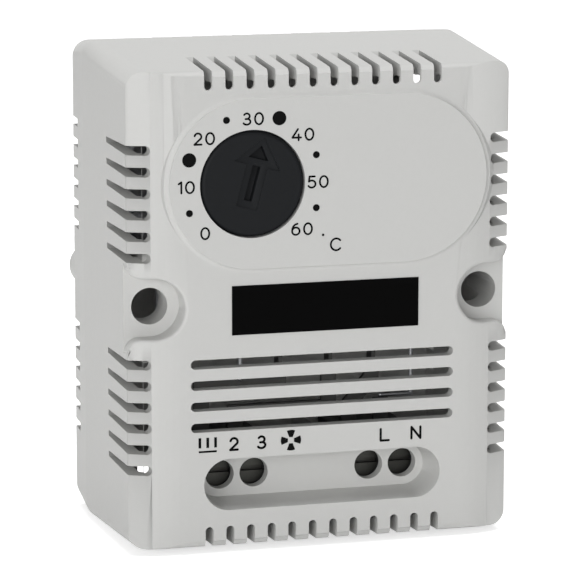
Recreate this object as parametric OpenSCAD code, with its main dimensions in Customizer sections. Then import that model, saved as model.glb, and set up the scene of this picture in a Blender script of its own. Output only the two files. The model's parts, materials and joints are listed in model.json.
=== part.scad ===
// Cabinet thermostat that clips on a 35 mm top-hat rail or takes two screws.
// Every module is drawn in the face frame: X to the right, Y back from the flat front,
// Z up from the middle of the housing. seat() moves it so that the housing stands on Z = 0.

/* [Housing] */
// Width at the widest line of the housing
housing_w = 61.4; // [60:0.2:64]
// Height at the widest line of the housing
housing_h = 75.4; // [74:0.2:79]
// Depth from the flat front to the rear rim
housing_d = 36.3; // [35:0.1:40]
// Depth of the widest line behind the front
bend_d = 27; // [24:0.5:30]
// Thickness of the cover's walls
wall = 2; // [1.7:0.1:2.2]
// How much each side draws in from the widest line to the front
side_taper = 0.75; // [0.4:0.05:1]
// How much the top draws in from the widest line to the front
top_taper = 2.2; // [1.2:0.05:2.4]
// How much the bottom draws in from the widest line to the front
bottom_taper = 1.05; // [0.6:0.05:1.4]
// How much each side draws in from the widest line to the rear rim
rear_side_taper = 0.6; // [0.3:0.05:0.8]
// How much the top and the bottom draw in from the widest line to the rear rim
rear_top_taper = 0.95; // [0.3:0.05:1.1]
// Radius of the four long corners
corner_r = 2.5; // [2.3:0.1:4]
// Radius of the front edges
edge_r = 1; // [0.6:0.1:1.2]
// Width of the curved shoulder along each side of the front
shoulder_w = 8.45; // [6:0.05:10]
// How far the shoulder falls back at the side
shoulder_drop = 1.95; // [1.5:0.05:2.4]

/* [Dial pad and label] */
// Height of the raised pad over the flat front
pad_h = 0.55; // [0.4:0.05:0.8]
// Radius of the pad's round ends
pad_r = 12.8; // [12:0.1:13.5]
// Distance between the centres of the pad's round ends
pad_len = 24; // [20:0.5:26]
// Radius of the hollow curve around the pad's foot
cove_r = 0.8; // [0.8:0.05:1.2]
// Width of the label
label_w = 29.35; // [24:0.05:32]
// Height of the label
label_h = 7.5; // [6:0.1:8]
// Thickness of the label
label_t = 0.12; // [0.08:0.01:0.2]

/* [Knob] */
// Distance of the knob's axis to the left of the middle
knob_left = 11.2; // [10:0.1:12]
// Height of the knob's axis above the middle
knob_up = 18.5; // [18:0.1:19]
// Radius of the knob
knob_r = 7.95; // [7:0.05:8.5]
// Radial gap between the knob and its opening
knob_gap = 0.19; // [0.1:0.01:0.25]
// Angle of the pointer at rest, clockwise from the top of the scale
knob_rest_a = 15; // [-20:1:30]
// Turn of the knob from the middle of the scale to either end
scale_half_a = 135; // [120:1:140]

/* [Mechanism] */
// Radius of the setting spindle
spindle_r = 2; // [1.8:0.05:2.2]
// Radius of the setting cam where the lever touches it at rest
cam_r = 5.4; // [5:0.1:5.8]
// Rise of the cam over one radian
cam_rise = 0.16; // [0.1:0.01:0.18]
// Thickness of the mechanism frame
frame_t = 1.2; // [1:0.1:1.5]
// Thickness of the bimetal strip
bimetal_t = 0.6; // [0.4:0.05:0.8]
// Length of the bimetal strip
bimetal_len = 31.3; // [30:0.1:32]
// Width of the bimetal strip
bimetal_w = 5.6; // [4.5:0.1:5.8]
// Length of the switch
switch_len = 20; // [19.6:0.1:20.6]
// Height of the switch
switch_h = 10.4; // [10:0.1:11]
// Thickness of the switch with its lid
switch_t = 6.4; // [6:0.1:6.8]

/* [Vents] */
// Step from one slot to the next, across
vent_step = 3.25; // [3:0.05:3.3]
// Step from one slot to the next, up the sides
side_vent_step = 3.23; // [3.1:0.01:3.3]
// Slots along the top and along the bottom
vents_across = 12; // [8:2:12]
// Slots above and below the screw pocket on each side
vents_side = 6; // [4:1:6]
// Width of the top and bottom slots
vent_w = 1.25; // [1:0.05:1.4]
// Height of the side slots at the front
side_vent_h = 1.5; // [1.2:0.1:1.6]
// How much the floor of a side slot rises towards the rear
side_vent_rise = 0.6; // [0.3:0.05:0.8]
// Depth to which the top slots run back
vent_run = 11; // [9:0.1:12]
// Depth to which the bottom slots run back
bottom_vent_run = 5.6; // [4:0.1:7]
// Depth to which the side slots run back
side_vent_run = 13; // [9:0.5:14]
// Length of the notches in the rear rim
notch_run = 4.3; // [3:0.1:5]
// Height of the notches in the rear rim's sides
notch_h = 1.3; // [1.1:0.05:1.5]
// Half the length of the front slots
front_slot_half = 20.7; // [18:0.1:21]
// Height of the front slots
front_slot_h = 1.42; // [1.2:0.02:1.6]

/* [Terminals] */
// Distance from the middle to the inner screw of each pair
inner_screw = 9.2; // [9:0.1:9.6]
// Step between the two screws of a pair
screw_step = 5.4; // [5.3:0.05:5.6]
// Height of the screws below the middle
screw_down = 27.1; // [26.8:0.1:27.4]
// Radius of the screwdriver holes
driver_r = 2.25; // [2:0.05:2.3]
// Depth of the terminal recess
recess_d = 6.3; // [5.5:0.1:6.6]
// Half the length of the terminal recess at the front
recess_half = 18.7; // [18.4:0.1:20]
// Radius of the recess's round ends at the front
recess_r = 3.97; // [3.8:0.01:4.1]
// Radius of the terminal screw's thread
thread_r = 1.25; // [1.1:0.05:1.3]
// Radius of the terminal screw's head
head_r = 2.4; // [2.3:0.05:2.45]
// Travel of a wire clamp
clamp_travel = 2.3; // [2:0.1:2.4]

/* [Mounting] */
// Distance of each mounting screw from the middle
mount_x = 26.05; // [25.8:0.05:26.3]
// Radius of the cover's screw hole
mount_hole_r = 2.8; // [2.5:0.1:2.9]
// Radius of the screw hole through each rear foot
foot_hole_r = 2.25; // [2:0.05:2.4]
// Radius of the rear feet
foot_r = 3.5; // [3.3:0.1:3.7]
// How far the feet stand behind the rear rim
foot_h = 6.2; // [5.8:0.1:6.4]
// Radius of the screw pockets in the front
pocket_r = 4.6; // [4.3:0.1:4.8]
// Depth of the floor of the screw pockets
pocket_d = 4; // [3.6:0.1:4.4]
// Width of the rail over its flanges
rail_w = 35; // [34.8:0.1:35.2]
// Thickness of the rail's flanges
rail_lip = 1; // [0.9:0.1:1.2]
// How far the hooks reach behind the rail's flanges
hook_reach = 1.2; // [1:0.1:1.6]
// Travel of the rail latch
latch_travel = 3.4; // [2.6:0.1:3.5]

/* [Hidden] */
$fn = 64;

// Smallest thickness, used for the stations that the housing is stretched over
skin = 0.01;
// How far cuts run past the faces that they open
over = 1;
// Gap beside parts that slide or turn
run_gap = 0.05;
// Gap between fixed parts
fit_gap = 0.1;

// Housing, at the front, the widest line and the rear rim
half_w = housing_w / 2;
half_h = housing_h / 2;
front_half_w = half_w - side_taper;
front_top_h = half_h - top_taper;
front_bottom_h = half_h - bottom_taper;
rear_half_w = half_w - rear_side_taper;
rear_half_h = half_h - rear_top_taper;
// How far the front edges' curves run outside the tapered sides
edge_over = 0.15;
shoulder_x = front_half_w - shoulder_w;
shoulder_r = (shoulder_w * shoulder_w + shoulder_drop * shoulder_drop) / (2 * shoulder_drop);
total_d = pad_h + housing_d + foot_h;
face_y = pad_h - total_d / 2;

// Rear base
base_t = 2;
base_gap = 0.15;
base_y = housing_d - base_t;
base_half_w = rear_half_w - wall - base_gap;
base_half_h = rear_half_h - wall - base_gap;
corner_notch_w = 3;
corner_notch_low = 27.8;
corner_notch_high = 33;
sleeve_wall = 1.1;
sleeve_r = mount_hole_r + sleeve_wall;
sleeve_len = 5.5;
snap_w = 5;
snap_t = 1.1;
snap_reach = 8.3;
snap_barb = 1.3;
snap_barb_run = 2;
snap_top_x = 19;
snap_bottom_x = 23.6;
snap_gap = 0.2;

// Knob
knob_x = -knob_left;
knob_z = knob_up;
knob_proud = 0.4;
knob_face_y = -knob_proud;
knob_rim_r = 0.6;
flange_gap = 0.3;
flange_y = wall + flange_gap;
flange_t = 1.3;
flange_rim = 1.6;
flange_r = knob_r + flange_rim;
lug_proud = 1.3;
lug_r = flange_r + lug_proud;
lug_half_a = 14;
stop_gap_a = 1;
stop_half_a = 180 - scale_half_a - lug_half_a - stop_gap_a;
hub_r = 4;
hub_end_y = 7.6;
arrow_d = 0.25;
arrow_pocket_d = 1.5;
arrow_tip_share = 0.905;
arrow_base_share = 0.345;
arrow_head_share = 0.455;
arrow_shaft_share = 0.207;
arrow_tail_share = 0.47;
arrow_peak_share = 0.74;
arrow_peak_base_share = 0.48;
arrow_peak_half_share = 0.2;
arrow_slot_share = 0.078;
arrow_slot_tail_share = 0.33;

// Spindle, cam and frame
spindle_y = 3.6;
spindle_flat = 0.5;
cam_y = 9;
cam_t = 3;
cam_hub_r = 3.3;
cam_hub_y = 8;
cam_hub_end_y = 13.2;
cam_margin_a = 12;
frame_y = 20.4;
frame_end_y = frame_y + frame_t;
bush_r = 3;
bush_flange_r = 3.9;
bush_flange_t = 1;
collar_r = 2.8;
collar_t = 1.4;
bush_nose = 0.5;
clip_t = 0.6;
clip_w = 1.3;
spindle_end = 0.6;

frame_left = 3;
frame_right = 11.8;
frame_below = 0.8;
frame_above = 5.9;
frame_shelf = 6.7;
frame_step = 3.9;
frame_neck = 2.2;
frame_corner = 3.8;
frame_top_run = 6.7;
frame_slope = 5.5;

// Setting lever and bimetal strip, in the plane of the switch's middle
lever_span = 11.8;
pivot_x = knob_x - lever_span;
pivot_z = 9.5;
pin_r = 1.25;
lever_hub_r = 2.6;
nose_r = 1.2;
nose_gap = 0.08;
nose_x = knob_x;
nose_z = knob_z - cam_r - nose_gap - nose_r;
lever_back = 0.6;
lever_y = cam_y + lever_back;
lever_t = 1.8;
arm_half = 1;
mid_y = frame_y - switch_t / 2;
strip_y = mid_y - bimetal_w / 2;
strip_start = 0.7;
strip_x = pivot_x + strip_start;
strip_drop = 4.1;
strip_top_z = pivot_z - strip_drop;
strip_z = strip_top_z - bimetal_t;
foot_plate_t = 1;
foot_plate_len = 8.8;
web_w = 2.4;
web_gap = 0.35;
rivet_r = 0.9;
rivet_head_r = 1.5;
rivet_head_t = 0.8;
rivet_near = 4.2;
rivet_step = 3.8;
rivet_a_x = pivot_x + rivet_near;
rivet_b_x = rivet_a_x + rivet_step;
tip_margin = 2.5;
tip_x = strip_x + bimetal_len - tip_margin;
tip_r = 1.4;
tip_h = 1.4;
tip_pin_r = 0.7;
tip_pin_h = 0.5;

// Lever spring, between the lever's pad and the frame's tab
spring_x = rivet_b_x;
spring_y = lever_y + lever_t / 2;
spring_mean_r = 1.25;
spring_wire_r = 0.2;
spring_turns = 8;
tab_z = 0;
tab_t = 1;
tab_half = 2.2;
tab_front_y = 8.6;
peg_r = 0.8;
peg_h = 0.9;
pad_disc_r = 1.8;
pad_disc_t = 1.2;
pad_disc_z = 9;

// Switch
plunger_in = 9.9;
switch_x = tip_x - plunger_in;
switch_top_z = 1;
switch_y = frame_y - switch_t;
lid_t = 0.8;
case_wall = 0.85;
switch_bottom_z = switch_top_z - switch_h;
switch_right_x = switch_x + switch_len;
plunger_r = 1;
plunger_proud = 1.2;
plunger_collar_r = 1.5;
plunger_collar_t = 0.8;
plunger_travel = 0.3;
post_t = 0.6;
blade_t = 0.3;
blade_w = 3.2;
blade_drop = 4.7;
blade_top_z = switch_top_z - blade_drop;
contact_run = 6.7;
contact_x = tip_x - contact_run;
blade_run = 6.5;
contact_spare = 0.05;
blade_pivot_x = tip_x + blade_run;
hinge_x = blade_pivot_x - post_t / 2 - run_gap;
contact_gap = plunger_travel * (hinge_x - contact_x) / (hinge_x - tip_x) + contact_spare;
blade_tip = 1.2;
blade_end_x = contact_x - blade_tip;
contact_r = 1.1;
contact_head_t = 0.5;
contact_pin_r = 0.6;
post_w = 2.6;
post_drop = 4;
post_end_z = switch_bottom_z - post_drop;
arm_t = 0.6;
cooling_run = 0.5;
cooling_x = tip_x - cooling_run;
heating_in = 0.4;
heating_x = switch_x + case_wall + heating_in;
switch_screw_r = 0.95;
switch_screw_gap = 0.05;
switch_head_r = 1.5;
switch_head_t = 1.3;
boss_r = 1.6;
high_screw_in = 2.3;
low_screw_in = 4.9;
low_screw_up = 1.45;
switch_holes = [[switch_right_x - high_screw_in, switch_top_z - high_screw_in],
                [switch_x + low_screw_in, switch_bottom_z + low_screw_up]];

// Frame posts and their screws
post_r = 2.7;
frame_screw_r = 1.2;
frame_head_r = 2.3;
frame_head_t = 1.6;
frame_screw_len = 6;
post_bore_d = 7;
post_a_left = 11.3;
post_a_up = 2.5;
post_b_right = 8.7;
post_b_up = 3.7;
post_c_right = 9;
post_c_up = 1.8;
frame_posts = [[knob_x - post_a_left, knob_z + post_a_up], [tip_x + post_b_right, pivot_z + post_b_up],
               [pivot_x + post_c_right, switch_bottom_z + post_c_up]];

// Terminal blocks
screw_z = -screw_down;
screw_xs = [-inner_screw - screw_step, -inner_screw, inner_screw, inner_screw + screw_step];
recess_drop = 0.13;
recess_z = screw_z - recess_drop;
recess_draft = 0.67;
recess_wall = 1.5;
recess_floor_t = 1.9;
block_y = recess_d + recess_floor_t + fit_gap;
block_end_y = 23;
block_margin = 3.1;
block_below = 3.1;
block_low_z = screw_z - block_below;
block_above = 4.5;
block_high_z = screw_z + block_above;
cell_half_w = 2.3;
cell_half_h = 2.45;
cage_half_w = 2.15;
cage_half_h = 2.3;
cage_wall = 1.8;
cage_back = 1;
cage_window_half = 1.5;
strip_half = 1.2;
bar_t = 0.8;
bar_y = mid_y - bar_t / 2;
cage_to_bar = 0.4;
cage_y = bar_y - cage_to_bar - cage_wall;
clamp_spare = 0.4;
seat_t = 0.6;
cell_y = cage_y - clamp_travel - clamp_spare;
seat_y = cell_y - seat_t;
cage_window = 4.4;
head_t = 2;
screw_to_bar = 0.6;
slot_half_share = 0.17;
rib_t = 1.4;
rib_half_h = 3.1;
rib_up = 0.2;
rib_z = screw_z + rib_up;

// Feedback resistor
resistor_r = 1.5;
resistor_cap_r = 1.7;
resistor_cap_t = 1.6;
resistor_left = 13.5;
resistor_x = tip_x - resistor_left;
resistor_len = 9.5;
resistor_drop = 0.5;
resistor_z = pivot_z - resistor_drop;
lead_r = 0.35;
lead_right = 5;
lead_left = 2.5;
lead_front = 4.2;
lead_right_x = screw_xs[3] + lead_right;
lead_left_x = resistor_x - lead_left;
lead_front_y = mid_y - lead_front;
strip_n_up = 8.1;
bar_2_up = 11.6;
bar_3_up = 7.1;
strip_n_top_z = screw_z + strip_n_up;
bar_2_z = screw_z + bar_2_up;
bar_3_z = screw_z + bar_3_up;

// Rail hooks, latch and wire entries
rail_gap = 0.2;
lip_gap = 0.3;
hook_t = 2.3;
hook_body = 2.5;
hook_w = 9;
hook_x = 14;
hook_y = housing_d + rail_lip + lip_gap;
hook_end_y = hook_y + hook_t;
latch_gap = 0.15;
latch_half = 6;
latch_t = 1.8;
latch_back = 0.2;
latch_y = housing_d + latch_back;
latch_hook_half = 4.4;
latch_hook_h = 2.2;
latch_up = 0.7;
latch_low_z = -half_h + latch_up;
window_half = 1.9;
window_high = 12.8;
window_low = 3.75;
window_top_z = latch_low_z + window_high;
window_low_z = latch_low_z + window_low;
stop_peg_half = 1.2;
stop_peg_h = 1.4;
stop_peg_proud = 2.6;
driver_slot_half = 2.5;
driver_slot_h = 1;
driver_slot_up = 1.1;
guide_t = 1.5;
guide_lip = 1.2;
guide_lip_t = 1.5;
guide_low = 3;
guide_end_gap = 0.6;
guide_low_z = latch_low_z + guide_low;
guide_high_z = -rail_w / 2 - latch_travel - guide_end_gap;
latch_spring_mean_r = 1.1;
latch_spring_turns = 8;
entry_gap = 0.55;
entry_in_x = latch_half + latch_gap + guide_t + entry_gap;
entry_out_x = 20.6;
entry_top_z = block_low_z - fit_gap;

// Screw pockets
pocket_wall = 1.6;
flare_r = 2.2;
flare_from = 1.75;

// Vents
rows_left_out = 4;
top_vent_low = 2.85;
top_thin_t = 0.7;
top_thin_low = 4;
top_thin_high = 1.75;
bottom_vent_high = 3;
side_vent_in = 2.6;
side_vent_low = 0.35;
front_slot_first = 8.57;
front_slots = 4;
label_x = 0.35;
label_z = -0.6;

// Colours
light_grey = [0.8, 0.8, 0.79];
near_black = [0.12, 0.12, 0.13];
steel = [0.7, 0.7, 0.72];
brass_tone = [0.8, 0.66, 0.35];
nylon = [0.9, 0.9, 0.86];

// A point of a circle
function on_circle(c, r, a) = [c[0] + r * cos(a), c[1] + r * sin(a)];
// Places of the slots across, from the middle outwards to both sides
function across(i) = (i - (vents_across - 1) / 2) * vent_step;
// Places of the slots up the sides, leaving out those beside the screw pocket
function up_side(i) = (i + (rows_left_out + 1) / 2) * side_vent_step;

// Moves a piece from the face frame to the part's frame
module seat() {
  translate([0, face_y, half_h]) children();
}

// Moves a piece to an axis at x and z
module at(x, z) {
  translate([x, 0, z]) children();
}

// Gives a flat shape in X and Z a depth from y0 to y1
module slab(y0, y1) {
  translate([0, y1, 0]) rotate([90, 0, 0]) linear_extrude(y1 - y0) children();
}

// A rod along Y from y0 to y1
module rod(r, y0, y1) {
  translate([0, y1, 0]) rotate([90, 0, 0]) cylinder(r = r, h = y1 - y0);
}

// A tube along Y from y0 to y1
module ring(r_out, r_in, y0, y1) {
  difference() {
    rod(r_out, y0, y1);
    rod(r_in, y0 - over, y1 + over);
  }
}

// A box given by its six faces
module box(x0, x1, y0, y1, z0, z1) {
  translate([x0, y0, z0]) cube([x1 - x0, y1 - y0, z1 - z0]);
}

// A bar with round ends, flat in X and Z
module stadium(half, r) {
  translate([-half + r, -r]) square([2 * (half - r), 2 * r]);
  for (s = [-1, 1]) translate([s * (half - r), 0]) circle(r = r);
}

// A plate with round corners, flat in X and Z
module rounded_plate(hw, hh, r) {
  square([2 * (hw - r), 2 * hh], center = true);
  square([2 * hw, 2 * (hh - r)], center = true);
  for (sx = [-1, 1], sz = [-1, 1]) translate([sx * (hw - r), sz * (hh - r)]) circle(r = r);
}

// A sector of a ring, flat in X and Z, centred on the angle a
module sector(r_in, r_out, a, half_a) {
  steps = 8;
  angles = [for (i = [0:steps]) a - half_a + 2 * half_a * i / steps];
  polygon(concat([for (b = angles) on_circle([0, 0], r_in, b)],
                 [for (i = [steps:-1:0]) on_circle([0, 0], r_out, angles[i])]));
}

// A round wire through points, with round corners
module wire(points, r) {
  for (i = [0:len(points) - 2]) {
    d = points[i + 1] - points[i];
    translate(points[i]) rotate([0, acos(d[2] / norm(d)), atan2(d[1], d[0])])
      cylinder(r = r, h = norm(d), $fn = 24);
  }
  for (p = points) translate(p) sphere(r = r, $fn = 24);
}

// Points of a coil along Z, and a tube of six sides swept along them
function coil_point(r, pitch, a) = [r * cos(a), r * sin(a), pitch * a / 360];
function coil_ring(r, pitch, a, wire_r) =
  let (c = coil_point(r, pitch, a),
       out = [cos(a), sin(a), 0],
       along = [-r * sin(a), r * cos(a), pitch / (2 * PI)],
       side = cross(along / norm(along), out))
  [for (k = [0:5]) c + wire_r * (cos(60 * k) * out + sin(60 * k) * side)];
module coil(r, wire_r, length, turns) {
  rings_per_turn = 8;
  n = turns * rings_per_turn;
  pitch = (length - 2 * wire_r) / turns;
  points = [for (i = [0:n]) each coil_ring(r, pitch, 360 * i / rings_per_turn, wire_r)];
  sides = [for (i = [0:n - 1]) for (k = [0:5])
    let (p = 6 * i + k, q = 6 * i + (k + 1) % 6) each [[p, q + 6, q], [p, p + 6, q + 6]]];
  start = [for (k = [1:4]) [0, k, k + 1]];
  end = [for (k = [1:4]) [6 * n, 6 * n + k + 1, 6 * n + k]];
  translate([0, 0, wire_r]) polyhedron(points, concat(sides, start, end));
}

// Least distance between two turns of a coil, taken on points of its centre line
function coil_gap(r, wire_r, length, turns) =
  let (pitch = (length - 2 * wire_r) / turns)
  min([for (a = [180:10:540]) norm(coil_point(r, pitch, a) - coil_point(r, pitch, 0))]) - 2 * wire_r;

// Discs that mark the housing's corners at one depth
module corner_discs(hw, top, bottom, r, y) {
  for (sx = [-1, 1], z = [top - r, r - bottom])
    at(sx * (hw - r), z) rod(r, y - skin, y, $fn = 32);
}

// The housing's tapered sides, drawn in by inset
module tapered_sides(inset, rear_y) {
  r = corner_r - inset;
  hull() {
    corner_discs(front_half_w - inset, front_top_h - inset, front_bottom_h - inset, r, inset);
    corner_discs(half_w - inset, half_h - inset, half_h - inset, r, bend_d);
    corner_discs(rear_half_w - inset, rear_half_h - inset, rear_half_h - inset, r, rear_y);
  }
}

// One half of the housing seen from above: flat front, shoulder, edge and side
function plan_half(inset) =
  let (r = shoulder_r - inset,
       side = front_half_w + edge_over - inset,
       start = asin((side - edge_r - shoulder_x) / (r - edge_r)),
       edge_y = shoulder_r - (r - edge_r) * cos(start),
       steps = 8)
  concat([for (i = [0:steps]) let (a = start * i / steps)
            [shoulder_x + r * sin(a), shoulder_r - r * cos(a)]],
         [for (i = [1:4]) let (a = start + (90 - start) * i / 4)
            [side - edge_r + edge_r * sin(a), edge_y - edge_r * cos(a)]],
         [[half_w + over, bend_d], [half_w + over, housing_d + 2 * over]]);

// One half of the housing seen from the side: front, edge and top or bottom
function side_half(inset, front_h) =
  let (top = front_h + edge_over - inset)
  concat([for (i = [0:4]) let (a = 90 * i / 4)
            [inset + edge_r - edge_r * cos(a), top - edge_r + edge_r * sin(a)]],
         [[bend_d, half_h + over], [housing_d + 2 * over, half_h + over]]);

function flip_x(list) = [for (i = [len(list) - 1:-1:0]) [-list[i][0], list[i][1]]];
function flip_y(list) = [for (i = [len(list) - 1:-1:0]) [list[i][0], -list[i][1]]];

// The solid housing, or the hollow in it when it is drawn in by the wall
module housing_solid(inset, rear_y) {
  intersection() {
    tapered_sides(inset, rear_y);
    translate([0, 0, -half_h - over]) linear_extrude(housing_h + 2 * over)
      polygon(concat(plan_half(inset), flip_x(plan_half(inset))));
    translate([-half_w - over, 0, 0]) rotate([90, 0, 90]) linear_extrude(housing_w + 2 * over)
      polygon(concat(side_half(inset, front_top_h), flip_y(side_half(inset, front_bottom_h))));
  }
}

// The pad's edge from its rim down the hollow curve at its foot, and on into the wall
function pad_edge() =
  let (sweep = acos(1 - pad_h / cove_r), foot = pad_r + cove_r * sin(sweep), steps = 5)
  concat([for (i = [0:steps]) let (a = sweep * (1 - i / steps))
            [foot - cove_r * sin(a), cove_r * cos(a) - cove_r]],
         [[foot + wall, wall]]);

// The raised pad under the scale, with a hollow curve around it that runs on over the shoulder
module dial_pad() {
  edge = pad_edge();
  for (x = [knob_x, knob_x + pad_len]) at(x, knob_z) rotate([-90, 0, 0]) rotate_extrude()
    polygon(concat([[0, wall], [0, -pad_h]], edge));
  translate([knob_x, 0, knob_z]) rotate([90, 0, 90]) linear_extrude(pad_len)
    polygon(concat([for (p = edge) [p[1], p[0]]],
                   [for (i = [len(edge) - 1:-1:0]) [edge[i][1], -edge[i][0]]]));
}

// The outline of a screw pocket, open towards the side of the housing
module pocket_shape(grow) {
  reach = half_w - mount_x + over;
  r = pocket_r + grow;
  circle(r = r);
  translate([0, -r]) square([reach, 2 * r]);
  for (s = [-1, 1]) difference() {
    translate([flare_from, s * r - (s < 0 ? flare_r : 0)]) square([reach - flare_from, flare_r]);
    translate([flare_from, s * (r + flare_r)]) circle(r = flare_r);
  }
}

// What the screw pockets, the recess and the sleeves add inside the cover
module cover_inner_walls() {
  block_out = front_half_w - wall / 2 - mount_x;
  block_half_h = pocket_r + flare_r + pocket_wall;
  for (s = [-1, 1]) translate([s * mount_x, 0, 0]) {
    mirror([s < 0 ? 1 : 0, 0, 0]) {
      intersection() {
        rod(pocket_r + pocket_wall, wall, pocket_d + wall);
        box(-pocket_r - pocket_wall, block_out, 0, pocket_d + wall, -block_half_h, block_half_h);
      }
      box(0, block_out, shoulder_drop + skin, pocket_d + wall, -block_half_h, block_half_h);
    }
    intersection() {
      rod(sleeve_r, pocket_d, pocket_d + sleeve_len);
      mirror([s < 0 ? 1 : 0, 0, 0])
        box(-sleeve_r, rear_half_w - wall / 2 - mount_x, 0, housing_d, -sleeve_r, sleeve_r);
    }
  }
  at(0, recess_z) slab(wall - skin, recess_d + recess_floor_t)
    stadium(recess_half + recess_wall, recess_r + recess_wall);
  at(knob_x, knob_z) slab(wall - skin, flange_y + flange_t + lip_gap)
    sector(flange_r + knob_gap, lug_r + lip_gap, -90, stop_half_a);
}

// The terminal recess, drawn in towards its floor
module recess_cut() {
  hull() for (s = [-1, 1]) {
    at(s * (recess_half - recess_r), recess_z) rod(recess_r, -over, skin);
    at(s * (recess_half - recess_r), recess_z) rod(recess_r - recess_draft, recess_d - skin, recess_d);
  }
}

// All slots in the front, the sides, the top and the bottom
module vent_cuts() {
  for (k = [0:front_slots - 1]) at(0, -front_slot_first - k * side_vent_step)
    slab(-over, wall + over) stadium(front_slot_half, front_slot_h / 2);
  for (s = [-1, 1], t = [-1, 1], i = [0:vents_side - 1])
    at(s * (front_half_w - side_vent_in), t * up_side(i) - side_vent_low) {
      slab(-over, wall + over) circle(r = side_vent_h / 2);
      mirror([s < 0 ? 1 : 0, 0, 0]) rotate([90, 0, 90]) linear_extrude(side_vent_in + side_taper + over)
        polygon([[-over, -side_vent_h / 2], [0, -side_vent_h / 2],
                 [side_vent_run, side_vent_rise - side_vent_h / 2],
                 [side_vent_run, side_vent_h / 2], [-over, side_vent_h / 2]]);
    }
  for (i = [0:vents_across - 1]) {
    at(across(i), front_top_h - top_vent_low + vent_w / 2) slab(-over, vent_run) {
      circle(r = vent_w / 2);
      translate([-vent_w / 2, 0]) square([vent_w, top_vent_low + top_taper + over]);
    }
    at(across(i), bottom_vent_high - front_bottom_h - vent_w / 2) slab(-over, bottom_vent_run) {
      circle(r = vent_w / 2);
      translate([-vent_w / 2, -bottom_vent_high - bottom_taper - over])
        square([vent_w, bottom_vent_high + bottom_taper + over]);
    }
  }
  thin_half_w = (vents_across / 2) * vent_step;
  box(-thin_half_w, thin_half_w, top_thin_t, wall + over, front_top_h - top_thin_low, front_top_h - top_thin_high);
}

// The notches in the rear rim, on all four sides
module notch_cuts() {
  y0 = housing_d - notch_run;
  y1 = housing_d + over;
  for (s = [-1, 1], t = [-1, 1], i = [0:vents_side - 1])
    translate([s * rear_half_w, 0, t * up_side(i)])
      box(-wall - over / 2, wall + over / 2, y0, y1, -notch_h / 2, notch_h / 2);
  for (t = [-1, 1], i = [0:vents_across - 1])
    translate([across(i), 0, t * rear_half_h])
      box(-vent_w / 2, vent_w / 2, y0, y1, -wall - over / 2, wall + over / 2);
}

// Places of the base's four snap arms: x and side up or down
snaps = [[-snap_top_x, 1], [snap_top_x, 1], [-snap_bottom_x, -1], [snap_bottom_x, -1]];
snap_y = base_y - snap_reach;
snap_z = base_half_h - snap_t;

module snap_pocket_cuts() {
  for (p = snaps) translate([p[0], 0, 0]) mirror([0, 0, p[1] < 0 ? 1 : 0])
    box(-snap_w / 2 - snap_gap, snap_w / 2 + snap_gap, snap_y - snap_gap, snap_y + snap_barb_run + snap_gap,
        snap_z, snap_z + snap_t + snap_barb + snap_gap);
}

module front_cover() {
  color(light_grey) seat() difference() {
    union() {
      difference() {
        union() {
          housing_solid(0, housing_d);
          dial_pad();
        }
        housing_solid(wall, housing_d + over);
      }
      cover_inner_walls();
    }
    for (s = [-1, 1]) translate([s * mount_x, 0, 0]) {
      mirror([s < 0 ? 1 : 0, 0, 0]) slab(-over, pocket_d) pocket_shape(0);
      rod(mount_hole_r, 0, housing_d);
    }
    recess_cut();
    for (x = screw_xs) at(x, screw_z) rod(driver_r, recess_d - over, block_y + over);
    at(knob_x, knob_z) rod(knob_r + knob_gap, -pad_h - over, wall + over);
    vent_cuts();
    notch_cuts();
    snap_pocket_cuts();
  }
}

module front_label() {
  color(near_black) seat() at(label_x, label_z)
    box(-label_w / 2, label_w / 2, -label_t, 0, -label_h / 2, label_h / 2);
}

// A fixed hook that holds the rail's upper flange
module rail_hook() {
  low = rail_w / 2 + rail_gap;
  box(-hook_w / 2, hook_w / 2, housing_d - skin, hook_end_y, low, low + hook_body);
  box(-hook_w / 2, hook_w / 2, hook_y, hook_end_y, low - rail_gap - hook_reach, low + hook_body);
}

// The two guides that hold the latch against the base
module latch_guides() {
  inner = latch_half + latch_gap;
  lip_y = latch_y + latch_t + latch_gap;
  for (s = [-1, 1]) mirror([s < 0 ? 1 : 0, 0, 0]) {
    box(inner, inner + guide_t, housing_d - skin, lip_y + guide_lip_t, guide_low_z, guide_high_z);
    box(inner - guide_lip, inner + skin, lip_y, lip_y + guide_lip_t, guide_low_z, guide_high_z);
  }
  box(-stop_peg_half, stop_peg_half, housing_d - skin, housing_d + stop_peg_proud,
      window_low_z + run_gap, window_low_z + run_gap + stop_peg_h);
}

// A snap arm with its barb, at the top
module snap_arm() {
  box(-snap_w / 2, snap_w / 2, snap_y, base_y + skin, snap_z, snap_z + snap_t);
  translate([-snap_w / 2, 0, snap_z + snap_t]) rotate([90, 0, 90]) linear_extrude(snap_w)
    polygon([[snap_y, -snap_t / 2], [snap_y, 0], [snap_y + snap_barb_run, snap_barb],
             [snap_y + snap_barb_run, -snap_t / 2]]);
}

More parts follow.
